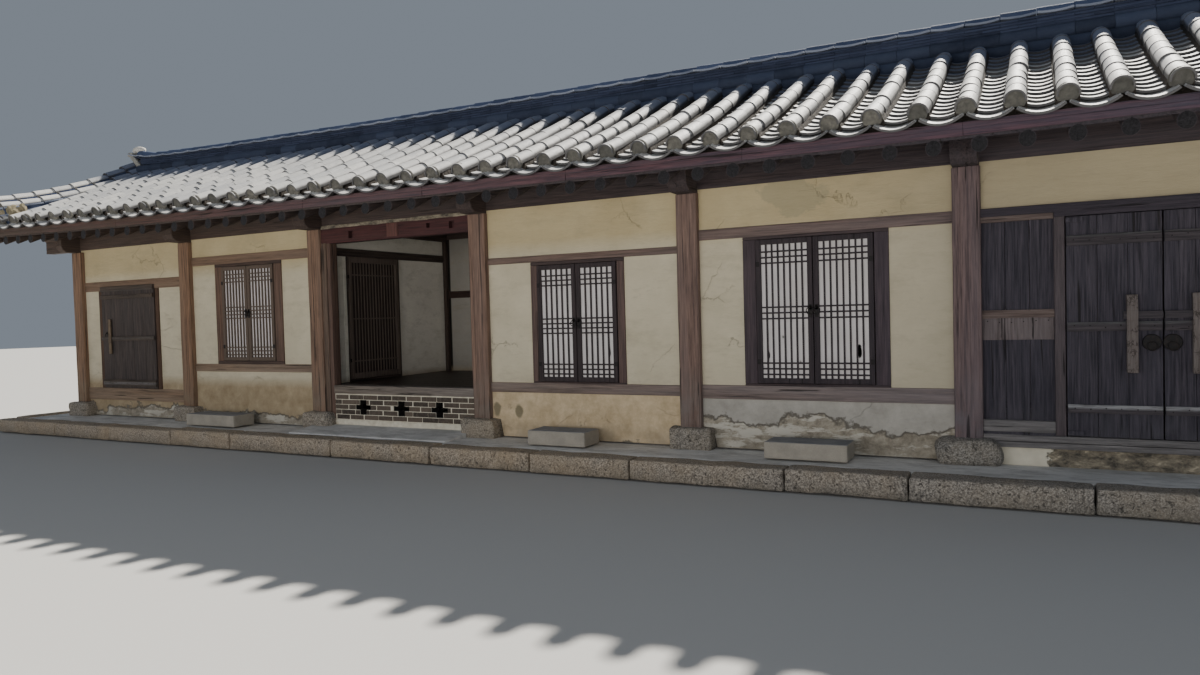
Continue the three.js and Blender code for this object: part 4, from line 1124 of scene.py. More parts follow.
wall_plaster, tree, shader = new_finish("wall plaster", 0.93)
place = own_place(tree)
here = put(tree, "ShaderNodeSeparateXYZ", Vector=place).outputs
height = here["Z"]
from_middle = both(here["Y"], here["Y"])
at_end = both(here["X"], here["X"])
outside = between(from_middle, 1.20 ** 2, 1.22 ** 2)
outside = both(outside, between(at_end, 7.20 ** 2, 7.22 ** 2), "MAXIMUM")
cloud = between(noise(place, 1.7, 7, 0.62), 0.3, 0.72)
trowel = noise(own_place(tree, (0.6, 1, 2.2)), 6.5, 6, 0.6)
grit = noise(place, 190, 3, 0.75)
dry = mix(cloud, (0.505, 0.408, 0.232), (0.615, 0.515, 0.315))
aired = mix(cloud, (0.580, 0.515, 0.372), (0.715, 0.640, 0.478))
colour = mix(both(between(height, 2.10, 2.28), outside), aired, dry)
in_room = mix(cloud, (0.33, 0.308, 0.270), (0.42, 0.392, 0.348))
in_porch = mix(cloud, (0.76, 0.72, 0.64), (0.88, 0.84, 0.75))
indoors = mix(between(from_middle, 1.15 ** 2, 1.13 ** 2), in_room, in_porch)
colour = mix(outside, indoors, colour)
scuffs = both(between(noise(own_place(tree, (1, 1, 2.4)), 7, 7, 0.75), 0.58, 0.76), 0.30)
colour = mix(scuffs, colour, (0.33, 0.28, 0.20))
wavering = put(tree, "ShaderNodeVectorMath", operation="ADD", Vector=own_place(tree, (1, 1, 1.7)))
join(wavering.inputs[1], both(noise(place, 3.5, 6, 0.7), 0.55))
cells = put(tree, "ShaderNodeTexVoronoi", Vector=wavering.outputs[0], Scale=1.15, feature="DISTANCE_TO_EDGE")
hairline = between(cells.outputs["Distance"], 0.0065, 0.002)
hairline = both(hairline, between(noise(place, 1.3, 3), 0.53, 0.60))
hairline = both(hairline, outside)
colour = mix(both(hairline, 0.30), colour, (0.19, 0.155, 0.10))
smudge = between(noise(own_place(tree, (0.7, 1, 2.0)), 3.6, 7, 0.7), 0.50, 0.68)
colour = mix(both(smudge, 0.28), colour, (0.33, 0.285, 0.185))
washed = distance_to(own_place(tree, (0.7, 1, 1)), (0.7 * 3.42, -1.255, 2.52))
washed = both(washed, both(noise(place, 5, 6, 0.65), 0.42), "ADD")
colour = mix(both(between(washed, 0.40, 0.37), 0.5), colour, (0.345, 0.310, 0.205))
by_gate = between(here["X"], 3.6, 4.95, 0.0, 0.55)
colour = mix(by_gate, colour, (0.33, 0.295, 0.22))
# Inside the porch the plaster in the left corner, by the side door's hinge, is coloured near black: painted
# shade.
hinge_corner_shade = both(between(here["X"], -2.3525, -2.3515), between(here["X"], -2.28, -2.29))
hinge_corner_shade = both(hinge_corner_shade, between(outside, 1.0, 0.0))
colour = mix(hinge_corner_shade, colour, (0.015, 0.013, 0.012))

# Below the sills the fine coat has come away from an uneven line down, and bay 5 is greyer.
low_wall = between(height, 0.80, 0.66)
grey_bays = between(here["X"], 2.39, 2.45)
blotch = between(noise(place, 5.5, 7, 0.7), 0.33, 0.68)
ochre_coat = mix(blotch, (0.420, 0.345, 0.225), (0.640, 0.560, 0.410))
grey_coat = mix(blotch, (0.360, 0.335, 0.295), (0.500, 0.475, 0.425))
beyond_porch = between(here["X"], -1.0, -0.8)
ochre_tint = mix(beyond_porch, (0.74, 0.67, 0.59), (1.18, 1.08, 0.98))
ochre_coat = mix(1.0, ochre_coat, ochre_tint, "MULTIPLY")
colour = mix(low_wall, colour, mix(grey_bays, ochre_coat, grey_coat))
line = both(height, both(noise(place, 2.6, 6, 0.6), 0.62), "ADD")
in_bay_4 = both(between(here["X"], -0.2, -0.1), between(here["X"], 2.45, 2.40))
drop = between(grey_bays, 0.0, 1.0, 0.13, 0.0)
drop = both(drop, both(in_bay_4, 0.16), "ADD")
line = both(line, drop, "ADD")
bared = both(between(line, 0.775, 0.755), low_wall)
rough = between(noise(place, 13, 7, 0.75), 0.36, 0.64)
colour = mix(bared, colour, mix(rough, (0.215, 0.185, 0.140), (0.47, 0.42, 0.335)))
daub = between(noise(own_place(tree, (0.8, 1, 3.0)), 3.1, 6, 0.7), 0.50, 0.56)
colour = mix(both(daub, bared), colour, (0.60, 0.565, 0.485))
edge_line = both(between(line, 0.740, 0.762), between(line, 0.792, 0.773))
colour = mix(both(both(edge_line, low_wall), 0.8), colour, (0.115, 0.100, 0.080))
upright_stretch = 0.62
for stain_x, stain_z in ((0.165, 0.495), (0.445, 0.470)):
    spot = (stain_x, -1.255, stain_z * upright_stretch)
    damp_and_shade = distance_to(own_place(tree, (1, 1, upright_stretch)), spot)
    damp_and_shade = both(damp_and_shade, both(trowel, 0.05), "ADD")
    colour = mix(between(damp_and_shade, 0.078, 0.062, 0.0, 0.75), colour, (0.150, 0.130, 0.075))
soiled = both(between(height, 0.40, 0.20), between(noise(place, 6), 0.25, 0.6))
paint(shader, mix(both(soiled, 0.5), colour, (0.20, 0.175, 0.135)))
relief = both(both(trowel, 1.6), both(grit, 0.2), "ADD")
relief = both(relief, both(bared, 0.9), "SUBTRACT")
relief = both(relief, both(hairline, 0.6), "SUBTRACT")
raise_surface(shader, relief, 0.007)
for name in (
    "bay_1_plaster", "bay_2_plaster", "bay_4_plaster", "bay_5_plaster", "gate_upper_plaster",
    "rear_wall_left", "rear_wall_porch", "rear_wall_right", "left_end_wall", "right_end_wall",
    "porch_partition_right",
):
    finish_node(name, wall_plaster)


def rubble(name, roughness):
    """Mortar full of small stones: returns its finish, shader, lumps and colour."""
    finish, tree, shader = new_finish(name, roughness)
    lumps = between(noise(own_place(tree, (1, 1, 1.8)), 9, 7, 0.75), 0.36, 0.62)
    return finish, shader, lumps, mix(lumps, (0.085, 0.078, 0.068), (0.53, 0.455, 0.335))


foot_rubble, shader, lumps, colour = rubble("gate foot mortar", 0.95)
paint(shader, colour)
raise_surface(shader, lumps, 0.02)
gate_foot_finish, shader, lumps, colour = rubble("gate foot", 0.93)
tree = gate_foot_finish.node_tree
place = own_place(tree)
clean = between(noise(place, 8, 6), 0.3, 0.7)
lime = mix(clean, (0.62, 0.575, 0.46), (0.76, 0.71, 0.585))
ragged = both(own_axis(tree, "X"), both(noise(place, 9, 6, 0.7), 0.30), "ADD")
patched = between(ragged, 5.59, 5.575)
paint(shader, mix(patched, colour, lime))
raise_surface(shader, both(lumps, between(patched, 1, 0)), 0.02)
gate_left, gate_right = column_x[5] + 0.1, column_x[6] - 0.1
foot_wall = block((gate_left, -1.259, terrace_top - 0.02), (gate_right, -1.12, 0.329), 0.01, 12)
foot_parts = coat(gate_foot_finish, wear(foot_wall, 0.016, 0.07))
settle("gate_foot_wall", foot_parts, ("plinth",))


# Rails, sills and door frames of the bays
# Squared pine halved into the columns; door frames are a darker, finer stock.
upright_wood = timber_finish(
    "door post timber", "z", (0.035, 0.020, 0.016), (0.125, 0.075, 0.055), (0.085, 0.055, 0.045),
)
dark_tones = (0.018, 0.011, 0.011), (0.070, 0.040, 0.034), (0.05, 0.032, 0.028)
dark_rail = timber_finish("dark door rail", "x", *dark_tones, 0.4)
dark_shade_post = timber_finish("dark door post", "z", *dark_tones, 0.4)
sill_wood = timber_finish(
    "sill timber", "x", (0.048, 0.034, 0.030), (0.300, 0.222, 0.182), (0.345, 0.295, 0.265), 0.8
)
frame_post = timber_finish(
    "light door post", "z", (0.046, 0.029, 0.026), (0.205, 0.132, 0.112), (0.155, 0.115, 0.105)
)
frame_rail = timber_finish(
    "light door rail", "x", (0.030, 0.021, 0.022), (0.120, 0.082, 0.076), (0.085, 0.066, 0.066)
)


def bay_span(number):
    """From column face to column face in a bay."""
    return column_x[number - 1] + 0.100, column_x[number] - 0.100


def lying(x, z, finish, y=(wall_face, timber_back)):
    """A timber along the wall."""
    return coat(finish, wear(block((x[0], y[0], z[0]), (x[1], y[1], z[1]), 0.006, 7, along=0), 0.007, 0.35))


def standing(x, z, finish, y=(wall_face, timber_back)):
    """A timber up the wall."""
    return coat(finish, wear(block((x[0], y[0], z[0]), (x[1], y[1], z[1]), 0.006, 5, along=2), 0.006, 0.35))


bay_1 = [
    *lying(bay_span(1), (2.015, 2.150), rail_wood),
    *lying(bay_span(1), (0.427, 0.600), sill_wood),
    *standing((-6.835, -6.760), (0.600, 2.015), upright_wood),
    *standing((-5.545, -5.470), (0.600, 2.015), upright_wood),
    *lying((-6.835, -5.470), (2.080, 2.150), rail_wood, (wall_face - 0.0015, timber_back)),
]
settle("bay_1_timbers", bay_1, ("bay_1_frame",))


def framed_bay(number, rail, sill, opening, post_width, post_finish):
    """The timbers of a bay with a pair of leaves: rail, sill, and the frame round an opening."""
    (x0, x1), (z0, z1) = opening
    bay = lying(bay_span(number), rail, rail_wood) + lying(bay_span(number), sill, sill_wood)
    bay += lying((x0, x1), (z1, rail[0]), frame_rail) + lying((x0, x1), (sill[1], z0), frame_rail)
    bay += standing((x0, x0 + post_width), (z0, z1), post_finish)
    bay += standing((x1 - post_width, x1), (z0, z1), post_finish)
    settle(f"bay_{number}_timbers", bay, (f"bay_{number}_frame",))


framed_bay(2, (2.275, 2.390), (0.860, 0.960), ((-4.285, -3.045), (1.000, 2.235)), 0.135, frame_post)
framed_bay(4, (2.045, 2.115), (0.675, 0.780), ((0.645, 1.735), (0.795, 2.010)), 0.080, frame_post)
dusky_post = timber_finish(
    "dusky door post", "z", (0.030, 0.021, 0.024), (0.130, 0.092, 0.095), (0.090, 0.074, 0.082)
)
framed_bay(5, (2.153, 2.252), (0.660, 0.790), ((2.955, 4.240), (0.810, 2.125)), 0.120, dusky_post)


# Lattice leaves
# A dark rim round thin bars: close uprights, crossed by groups of short bars at top, middle and
# foot. White mulberry paper is pasted behind, old enough to have a few tears.
paper, tree, shader = new_finish("mulberry paper", 0.9)
place = own_place(tree)
pulp = noise(place, 60, 5, 0.7)
yellowed = between(noise(place, 2.5, 5), 0.35, 0.7)
colour = mix(yellowed, (0.83, 0.785, 0.785), (0.73, 0.685, 0.665))
paint(shader, mix(both(between(pulp, 0.5, 0.8), 0.25), colour, (0.64, 0.60, 0.58)))
raise_surface(shader, pulp, 0.0015)

lattice_wood = timber_finish(
    "lattice timber", "z", (0.018, 0.013, 0.015), (0.066, 0.048, 0.050), (0.050, 0.041, 0.045), relief=0.002,
)
tree, shader, colour = reopen(lattice_wood)
sunned = both(between(own_axis(tree, "X"), -2.40, -2.50), 0.55)
paint(shader, mix(sunned, colour, (0.185, 0.135, 0.098)))

black_iron, tree, shader = new_finish("wrought iron", 0.7, 0.35)
rust = between(noise(own_place(tree), 45, 6, 0.7), 0.45, 0.7)
paint(shader, mix(rust, (0.013, 0.012, 0.013), (0.036, 0.025, 0.021)))
raise_surface(shader, noise(own_place(tree), 90, 4), 0.002)
facing_front = (math.radians(90), 0, 0)


def ring_pull(x, y, z, radius=0.032):
    """An iron ring hanging from a staple on a round plate, on a face that looks along -Y."""
    ring = shape(
        bpy.ops.mesh.primitive_torus_add, major_radius=radius, minor_radius=0.0038,
        major_segments=24, minor_segments=8,
        location=(x, y - 0.012, z - radius + 0.006), rotation=(math.radians(78), 0, 0),
    )
    plate = shape(
        bpy.ops.mesh.primitive_cylinder_add, vertices=18, radius=radius * 0.62, depth=0.004,
        location=(x, y - 0.002, z), rotation=facing_front,
    )
    edit(plate, eased(0.0012, 1))
    staple = block((x - 0.004, y - 0.022, z - 0.005), (x + 0.004, y - 0.001, z + 0.007), 0.0015)
    return coat(black_iron, ring, plate, staple)


def cut_out(piece, tool):
    """Cuts a tool's shape out of a piece and takes the tool away."""
    cut = piece.modifiers.new("cut", "BOOLEAN")
    cut.object = tool
    pick(piece)
    bpy.ops.object.modifier_apply(modifier=cut.name)
    bpy.data.objects.remove(tool)


def tear(sheet, x, z, half_x, half_z):
    """Cuts a ragged opening in a sheet of paper that faces along -Y."""
    opening = shape(
        bpy.ops.mesh.primitive_cylinder_add, vertices=9, radius=1, depth=0.06,
        location=(x, -1.258, z), scale=(half_x, half_z, 1), rotation=facing_front,
    )
    edit(opening, (bpy.ops.transform.vertex_random, {"offset": half_x * 0.35, "seed": 3}))
    cut_out(sheet, opening)


leaf_face, leaf_back = -1.286, -1.251
rim, bar = 0.046, 0.014
by_pivot = 0.017


def lattice_leaf(node, gaps, groups, pull_side, tears=()):
    """A leaf: rim, uprights between gaps, paper behind, and groups of short bars, each given by
    the share of the height where it starts, its rows and their spacing."""
    low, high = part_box(node)
    hung_left = pull_side == "right"
    x0 = low.x + (by_pivot if hung_left else 0.0)
    x1 = high.x - (0.0 if hung_left else by_pivot)
    z0, z1 = low.z, high.z
    field_x0, field_x1, field_z0, field_z1 = x0 + rim, x1 - rim, z0 + rim, z1 - rim
    wood = [
        block((x0, leaf_face, z0), (field_x0, leaf_back, z1), 0.003, 3, along=2),
        block((field_x1, leaf_face, z0), (x1, leaf_back, z1), 0.003, 3, along=2),
        block((field_x0, leaf_face, field_z1), (field_x1, leaf_back, z1), 0.003),
        block((field_x0, leaf_face, z0), (field_x1, leaf_back, field_z0), 0.003),
    ]
    pitch = (field_x1 - field_x0 + bar) / gaps
    for i in range(1, gaps):
        at = field_x0 + pitch * i - bar
        wood.append(block((at, leaf_face + 0.006, field_z0), (at + bar, leaf_face + 0.024, field_z1), 0.0015))
    for share, rows_of_bars, spacing in groups:
        for i in range(rows_of_bars):
            z = field_z0 + share * (field_z1 - field_z0) + i * spacing
            wood.append(
                block((field_x0, leaf_face + 0.004, z), (field_x1, leaf_face + 0.022, z + bar), 0.0015)
            )
    coat(lattice_wood, *wood)
    sheet = block(
        (x0 + 0.02, leaf_back - 0.010, z0 + 0.02), (x1 - 0.02, leaf_back - 0.006, z1 - 0.02), 0.0005, 10
    )
    wear(sheet, 0.003, 0.12)
    for opening in tears:
        tear(sheet, *opening)
    coat(paper, sheet)
    pull_x = x1 - 0.024 if hung_left else x0 + 0.024
    iron = ring_pull(pull_x, leaf_face, z0 + 0.52 * (z1 - z0))
    middle = z0 + 0.50 * (z1 - z0)
    plates = [((pull_x - 0.017, pull_x + 0.017), (middle - 0.060, middle + 0.055), 0.002)]
    for share in (0.15, 0.83):
        z = z0 + share * (z1 - z0)
        hinge_x = (x0, x0 + 0.034) if hung_left else (x1 - 0.034, x1)
        plates.append((hinge_x, (z - 0.022, z + 0.022), 0.0015))
    for x, z, edge in plates:
        iron += coat(black_iron, block((x[0], leaf_face - 0.004, z[0]), (x[1], leaf_face, z[1]), edge))
    settle(node + "_lattice", wood + [sheet] + iron, (node,), body=node)


bay_5_groups = ((0.855, 3, 0.0515), (0.440, 3, 0.0515), (0.022, 3, 0.0515))
bay_5_left_tears = (
    (3.178, 1.072, 0.014, 0.034), (3.315, 1.235, 0.008, 0.012), (3.470, 1.010, 0.006, 0.010),
)
lattice_leaf("bay_5_left_leaf", 8, bay_5_groups, "right", bay_5_left_tears)
lattice_leaf("bay_5_right_leaf", 8, bay_5_groups, "left", ((3.985, 1.105, 0.017, 0.060),))
bay_4_groups = ((0.845, 3, 0.050), (0.400, 4, 0.050), (0.022, 3, 0.050))
lattice_leaf("bay_4_left_leaf", 6, bay_4_groups, "right")
lattice_leaf("bay_4_right_leaf", 6, bay_4_groups, "left", ((1.548, 1.110, 0.014, 0.060),))
bay_2_groups = ((0.860, 3, 0.048), (0.440, 4, 0.048), (0.022, 3, 0.048))
lattice_leaf("bay_2_left_leaf", 7, bay_2_groups, "right")
lattice_leaf("bay_2_right_leaf", 7, bay_2_groups, "left")


# Porch: lintel, posts and partition timbers
# The lintel once carried red paint, and mortises of an old screen show in it. Thin posts close
# the opening left and right, and the partition is framed like the front, in darker timber.
red_timber = timber_finish(
    "red lintel timber", "x", (0.028, 0.009, 0.012), (0.105, 0.032, 0.035), (0.060, 0.034, 0.036)
)
faded_red = timber_finish(
    "faded lintel patch", "z", (0.055, 0.024, 0.024), (0.205, 0.090, 0.082), (0.14, 0.070, 0.065)
)
porch_low, porch_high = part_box("porch_lintel")
lintel = wear(
    block((porch_low.x, -1.294, 2.422), (porch_high.x, -1.170, 2.602), 0.008, 9, along=0), 0.010, 0.3
)
for x, z, half in ((-1.827, 2.508, 0.040), (-0.671, 2.530, 0.024), (-0.345, 2.515, 0.036)):
    mortise = shape(
        bpy.ops.mesh.primitive_cube_add, size=2, location=(x, -1.29, z), scale=(half, 0.05, half * 1.1),
    )
    cut_out(lintel, mortise)
coat(red_timber, lintel)
bedding = wear(block((porch_low.x, -1.289, 2.594), (porch_high.x, -1.175, 2.640), 0.006, 14), 0.034, 0.06)
porch_wood = [lintel, *coat(foot_rubble, bedding)]
faded_patch = block((-1.272, -1.3005, 2.440), (-1.108, -1.290, 2.596), 0.003, 4)
porch_wood += coat(faded_red, wear(faded_patch, 0.004, 0.05))
jamb_wood = timber_finish(
    "jamb timber", "z", (0.046, 0.033, 0.029), (0.200, 0.145, 0.120), (0.150, 0.120, 0.105)
)
under_lintel, on_terrace, on_cap = 2.43, 0.280, 0.71
porch_wood += standing((-2.320, -2.240), (on_terrace, under_lintel), jamb_wood, (-1.300, -1.190))
porch_wood += standing((-2.236, -2.180), (on_terrace, under_lintel), frame_post, (-1.290, -1.172))
# The thin post on the right is coloured near black as painted shade, for the shaded side face of the column.
porch_wood += standing((-0.150, -0.104), (on_cap, under_lintel), dark_shade_post, (-1.262, -1.185))
settle("porch_opening_timbers", porch_wood, ("porch_lintel",))


def across_house(x, y, z, finish):
    """A timber across the house."""
    return coat(finish, wear(block((x[0], y[0], z[0]), (x[1], y[1], z[1]), 0.004, 5, along=1), 0.005, 0.3))


partition_tones = (0.026, 0.021, 0.022), (0.095, 0.075, 0.070), (0.075, 0.062, 0.060)
dark_lying = timber_finish("partition timber lying", "y", *partition_tones, 0.4)
inner_post = timber_finish("partition post", "z", *partition_tones, 0.4)
side_wood = [
    *across_house((-2.372, -2.352), (-1.105, 1.105), (2.295, 2.397), dark_lying),
    *across_house((-2.372, -2.352), (-0.852, 0.118), (0.710, 0.742), dark_lying),
    *standing((-2.372, -2.350), (0.71, 2.30), inner_post, (-0.856, -0.834)),
    *standing((-2.372, -2.350), (0.71, 2.30), inner_post, (0.100, 0.122)),
    *lying((-2.32, -0.104), (1.774, 1.876), dark_rail, (1.148, 1.19)),
]
settle("porch_partition_timbers", side_wood)
finish_node("porch_partition_left", wall_plaster)


# Porch side door
# A tall narrow leaf with close thin uprights over dark boards, hung on the partition.
low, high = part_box("porch_side_door")
back_x, face_x = low.x + 0.002, high.x - 0.003
door_y0, door_y1 = low.y + 0.016, high.y
stile, cross_rail = 0.055, 0.07
field_y0, field_y1 = door_y0 + stile, door_y1 - stile
field_z0, field_z1 = low.z + cross_rail, high.z - cross_rail
door_wood = [
    block((back_x, door_y0, low.z), (face_x, field_y0, high.z), 0.003, 3, along=2),
    block((back_x, field_y1, low.z), (face_x, door_y1, high.z), 0.003, 3, along=2),
    block((back_x, field_y0, low.z), (face_x, field_y1, field_z0), 0.003),
    block((back_x, field_y0, field_z1), (face_x, field_y1, high.z), 0.003),
]
bars = 15
for i in range(1, bars):
    at = field_y0 + (field_y1 - field_y0) * i / bars
    door_wood.append(
        block((face_x - 0.018, at - 0.006, field_z0), (face_x - 0.004, at + 0.006, field_z1), 0.0015)
    )
for z in (0.96, 1.50, 2.06):
    door_wood.append(block((face_x - 0.020, field_y0, z), (face_x - 0.002, field_y1, z + 0.016), 0.0015))
side_door_wood = timber_finish(
    "side door timber", "z", (0.060, 0.050, 0.050), (0.200, 0.165, 0.155), (0.150, 0.130, 0.125),
)
coat(side_door_wood, *door_wood)
backing = block(
    (back_x + 0.004, door_y0 + 0.02, low.z + 0.02), (back_x + 0.010, door_y1 - 0.02, high.z - 0.02), 0.001, 6
)
coat(lattice_wood, backing)
settle(
    "porch_side_door_leaf", door_wood + [backing], ("porch_side_door",),
    body="porch_side_door",
)


# Porch dado: dark brick with wide pale joints, three cross vents, weathered cap
# Five courses of dark handmade brick, pointed with a wide lime joint. Bricks left out in a cross
# air the space below the boards.
brick_clay, tree, shader = new_finish("dark brick", 0.9)
place = own_place(tree)
colour = mix(own_tone(tree), (0.052, 0.040, 0.032), (0.145, 0.110, 0.084))
burnt = between(noise(place, 30, 6, 0.7), 0.45, 0.7)
paint(shader, mix(both(burnt, 0.6), colour, (0.17, 0.14, 0.11)))
raise_surface(shader, noise(place, 70, 6, 0.75), 0.004)

pointing, tree, shader = new_finish("lime pointing", 0.92)
place = own_place(tree)
streaks = between(noise(place, 16, 6, 0.65), 0.3, 0.7)
colour = mix(streaks, (0.60, 0.54, 0.42), (0.82, 0.765, 0.63))
# The faces inside the vent holes are coloured near black: painted shade in the holes.
vent_shade = both(between(own_axis(tree, "Y"), -1.284, -1.276), between(own_axis(tree, "Z"), 0.31, 0.33))
paint(shader, mix(vent_shade, colour, (0.020, 0.017, 0.015)))
raise_surface(shader, noise(place, 110, 4), 0.002)

dado_left, dado_right = -2.176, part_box("porch_dado")[1].x
dado_face, dado_back = -1.289, -1.165
first_course, brick_course, brick_length = 0.310, 0.0595, 0.219
vent_arm, vent_stem, arm_half_height, stem_half_height = 0.118, 0.052, 0.029, 0.088
wall = block((dado_left, dado_face, 0.285), (dado_right, dado_back, 0.620), 0.003)
vent_z = first_course + 2.5 * brick_course - 0.004
vents = (-1.735, -1.151, -0.599)
for x in vents:
    for half_x, half_z in ((vent_arm, arm_half_height), (vent_stem, stem_half_height)):
        cut_out(wall, shape(
            bpy.ops.mesh.primitive_cube_add, size=1, location=(x, -1.23, vent_z),
            scale=(2 * half_x, 0.3, 2 * half_z),
        ))
coat(pointing, wall)


def beside_vents(pieces, half_width):
    """What is left of pieces of a course, each a start and an end, beside the vents."""
    for x in vents:
        parted = []
        for start, end in pieces:
            if end <= x - half_width or start >= x + half_width:
                parted.append((start, end))
                continue
            if x - half_width - start > 0.03:
                parted.append((start, x - half_width))
            if end - x - half_width > 0.03:
                parted.append((x + half_width, end))
        pieces = parted
    return pieces


bricks = []
for row in range(5):
    z = first_course + brick_course * row
    at = dado_left + 0.012 - (brick_length / 2 if row % 2 else 0) + chance.uniform(-0.02, 0.02)
    while at < dado_right - 0.03:
        x0 = max(at, dado_left + 0.008)
        x1 = min(at + brick_length - 0.011 + chance.uniform(-0.012, 0.005), dado_right - 0.006)
        at += brick_length
        pieces = [(x0, x1)]
        if 1 <= row <= 3:
            pieces = beside_vents(pieces, (vent_arm if row == 2 else vent_stem) + 0.002)
        for start, end in pieces:
            if end - start > 0.03:
                top = z + brick_course - 0.0085
                brick = block((start, dado_face - 0.007, z), (end, dado_face + 0.03, top), 0.003)
                bricks += copies(brick, [Matrix()])
for brick in bricks:
    wear(brick, 0.004, 0.03)
coat(brick_clay, *bricks)
foot_strip = block((dado_left, -1.296, terrace_top - 0.02), (dado_right + 0.02, dado_back, 0.300), 0.008, 8)
coat(pointing, wear(foot_strip, 0.014, 0.07))
grey_cap = timber_finish(
    "weathered cap", "x", (0.105, 0.090, 0.085), (0.30, 0.275, 0.255), (0.21, 0.19, 0.18), 0.6
)
cap = wear(block((dado_left, -1.306, 0.614), (dado_right, -1.150, 0.711), 0.008, 14), 0.014, 0.05)
coat(grey_cap, cap)
settle("porch_dado_brickwork", [wall, foot_strip, cap] + bricks, ("porch_dado",))


# Porch floor boards
# Long boards tongued between joists, worn dark and smooth.
floor_wood = timber_finish(
    "floor boards", "x", (0.020, 0.014, 0.012), (0.075, 0.052, 0.042), (0.055, 0.042, 0.036),
    roughness=0.5, relief=0.002,
)
low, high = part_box("porch_floor")
boards = []
board_count = 9
first_seam, board_width = low.y + 0.002, (high.y - low.y - 0.004) / board_count
for i in range(board_count):
    y0 = first_seam + board_width * i + 0.0012
    y1 = first_seam + board_width * (i + 1) - 0.0012
    trodden_top = high.z + chance.uniform(-0.0015, 0.001)
    boards.append(block((low.x, y0, high.z - 0.032), (high.x, y1, trodden_top), 0.003))
for x in (low.x + 0.06, -1.212, high.x - 0.06):
    boards.append(block((x - 0.05, low.y, low.z), (x + 0.05, high.y, high.z - 0.031), 0.006))
coat(floor_wood, *boards)
settle("porch_floor_boards", boards, ("porch_floor",))


# Heated floors of the rooms
# Stone slabs under clay, covered with sheets of oiled paper a yard square, glued at their edges.
oiled_paper, tree, shader = new_finish("oiled paper floor", 0.38)
sheets = put(
    tree, "ShaderNodeTexBrick", Vector=own_place(tree), Scale=1.0, Mortar_Size=0.012, Brick_Width=0.9,
    Row_Height=0.6, Color1=(0.42, 0.27, 0.095), Color2=(0.46, 0.31, 0.12), Mortar=(0.30, 0.18, 0.06),
)
paint(shader, sheets.outputs["Color"])
raise_surface(shader, noise(own_place(tree), 14, 5), 0.003)
finish_node("room_floor_bay_2", oiled_paper)
finish_node("room_floor_bays_4_5", oiled_paper)


# Plank doors
# Boards a hand and a half wide, adzed smooth and nailed to three battens, now open in the grain.
# They are near black under the eave and greyer at the foot, where rain reaches them.
plank_wood = timber_finish(
    "door plank", "z", (0.013, 0.012, 0.017), (0.125, 0.105, 0.115), (0.048, 0.045, 0.058),
    foot=(0.72, (0.125, 0.120, 0.120)), relief=0.006,
)
batten_wood = timber_finish(
    "door batten", "x", (0.026, 0.021, 0.023), (0.115, 0.095, 0.092), (0.080, 0.070, 0.070), relief=0.005,
)
tree, shader, colour = reopen(batten_wood)
height = own_axis(tree, "Z")
by_gate = between(own_axis(tree, "X"), 3.9, 4.1, 0.35, 1.0)
streaked = between(noise(own_place(tree, (5, 1, 60)), 1.0, 6, 0.7), 0.30, 0.55)
for foot, dust in ((0.650, 0.34), (1.296, 0.11), (1.970, 0.09)):
    dusty = both(between(height, foot, foot + 0.018), between(height, foot + 0.048, foot + 0.042))
    dusty = both(both(dusty, by_gate), streaked)
    colour = mix(dusty, colour, (dust, dust, 1.04 * dust))
paint(shader, colour)

pale_wood = timber_finish(
    "pale weathered timber", "z", (0.090, 0.065, 0.050), (0.290, 0.245, 0.205), (0.22, 0.185, 0.155), 0.6,
    relief=0.007,
)
tree, shader, colour = reopen(pale_wood)
tracks = put(
    tree, "ShaderNodeTexVoronoi", Vector=own_place(tree, (75, 75, 34)), Scale=1.0, feature="DISTANCE_TO_EDGE",
).outputs["Distance"]
gnawed = both(between(tracks, 0.13, 0.06), between(noise(own_place(tree), 14), 0.48, 0.58))
paint(shader, mix(both(gnawed, 0.8), colour, (0.045, 0.035, 0.028)))
plank_face, plank_back, batten_face = -1.286, -1.256, -1.308


def nail_heads(places, radius=0.006):
    """Hand-forged nail heads on a face that looks along -Y."""
    head = shape(
        bpy.ops.mesh.primitive_cone_add, vertices=8, radius1=radius, radius2=radius * 0.45, depth=0.004,
        rotation=facing_front,
    )
    return coat(black_iron, *copies(head, [Matrix.Translation(place) for place in places]))


def batten_across(x0, x1, z0, z1, face=batten_face, cuts=6, depth=0.005):
    """A batten on a door's planks."""
    batten = block((x0 + 0.004, face, z0), (x1 - 0.004, plank_face + 0.004, z1), 0.004, cuts, along=0)
    return coat(batten_wood, wear(batten, depth, 0.2))


def plank_door(x0, x1, z0, z1, widths, battens):
    """Upright planks of given relative widths, with battens across at heights."""
    at = x0
    wood, seams, nails = [], [], []
    for share in widths:
        wide = (x1 - x0) * share / sum(widths)
        face = plank_face + chance.uniform(0, 0.003)
        plank = block((at + 0.0012, face, z0), (at + wide - 0.0012, plank_back, z1), 0.003, 8, along=2)
        wood += coat(plank_wood, wear(plank, 0.004, 0.25))
        seams.append((at, at + wide))
        at += wide
    for low_z, high_z in battens:
        wood += batten_across(x0, x1, low_z, high_z)
        for left, right in seams:
            for share in (0.25, 0.75):
                nail_z = (low_z + high_z) / 2 + chance.uniform(-0.01, 0.01)
                nails.append((left + (right - left) * share, batten_face - 0.001, nail_z))
    return wood + nail_heads(nails)


low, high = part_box("bay_1_door")
door_x0, door_x1 = low.x, high.x - by_pivot
battens = [(low.z + up, low.z + up + wide) for up, wide in ((0.035, 0.090), (0.685, 0.060), (1.285, 0.060))]
door = plank_door(door_x0, door_x1, low.z, high.z, (1.0, 1.15, 0.9, 1.1, 0.95), battens)
door += batten_across(door_x0, door_x1, high.z - 0.075, high.z - 0.004, batten_face + 0.004, 5, 0.004)
pull_post = block((-6.565, -1.322, 1.10), (-6.510, -1.300, 1.60), 0.006, 5, along=2)
door += coat(pale_wood, wear(pull_post, 0.006, 0.1))
door += ring_pull(-6.64, plank_face, 1.40, 0.03)
settle("bay_1_plank_door", door, ("bay_1_door",), body="bay_1_door")


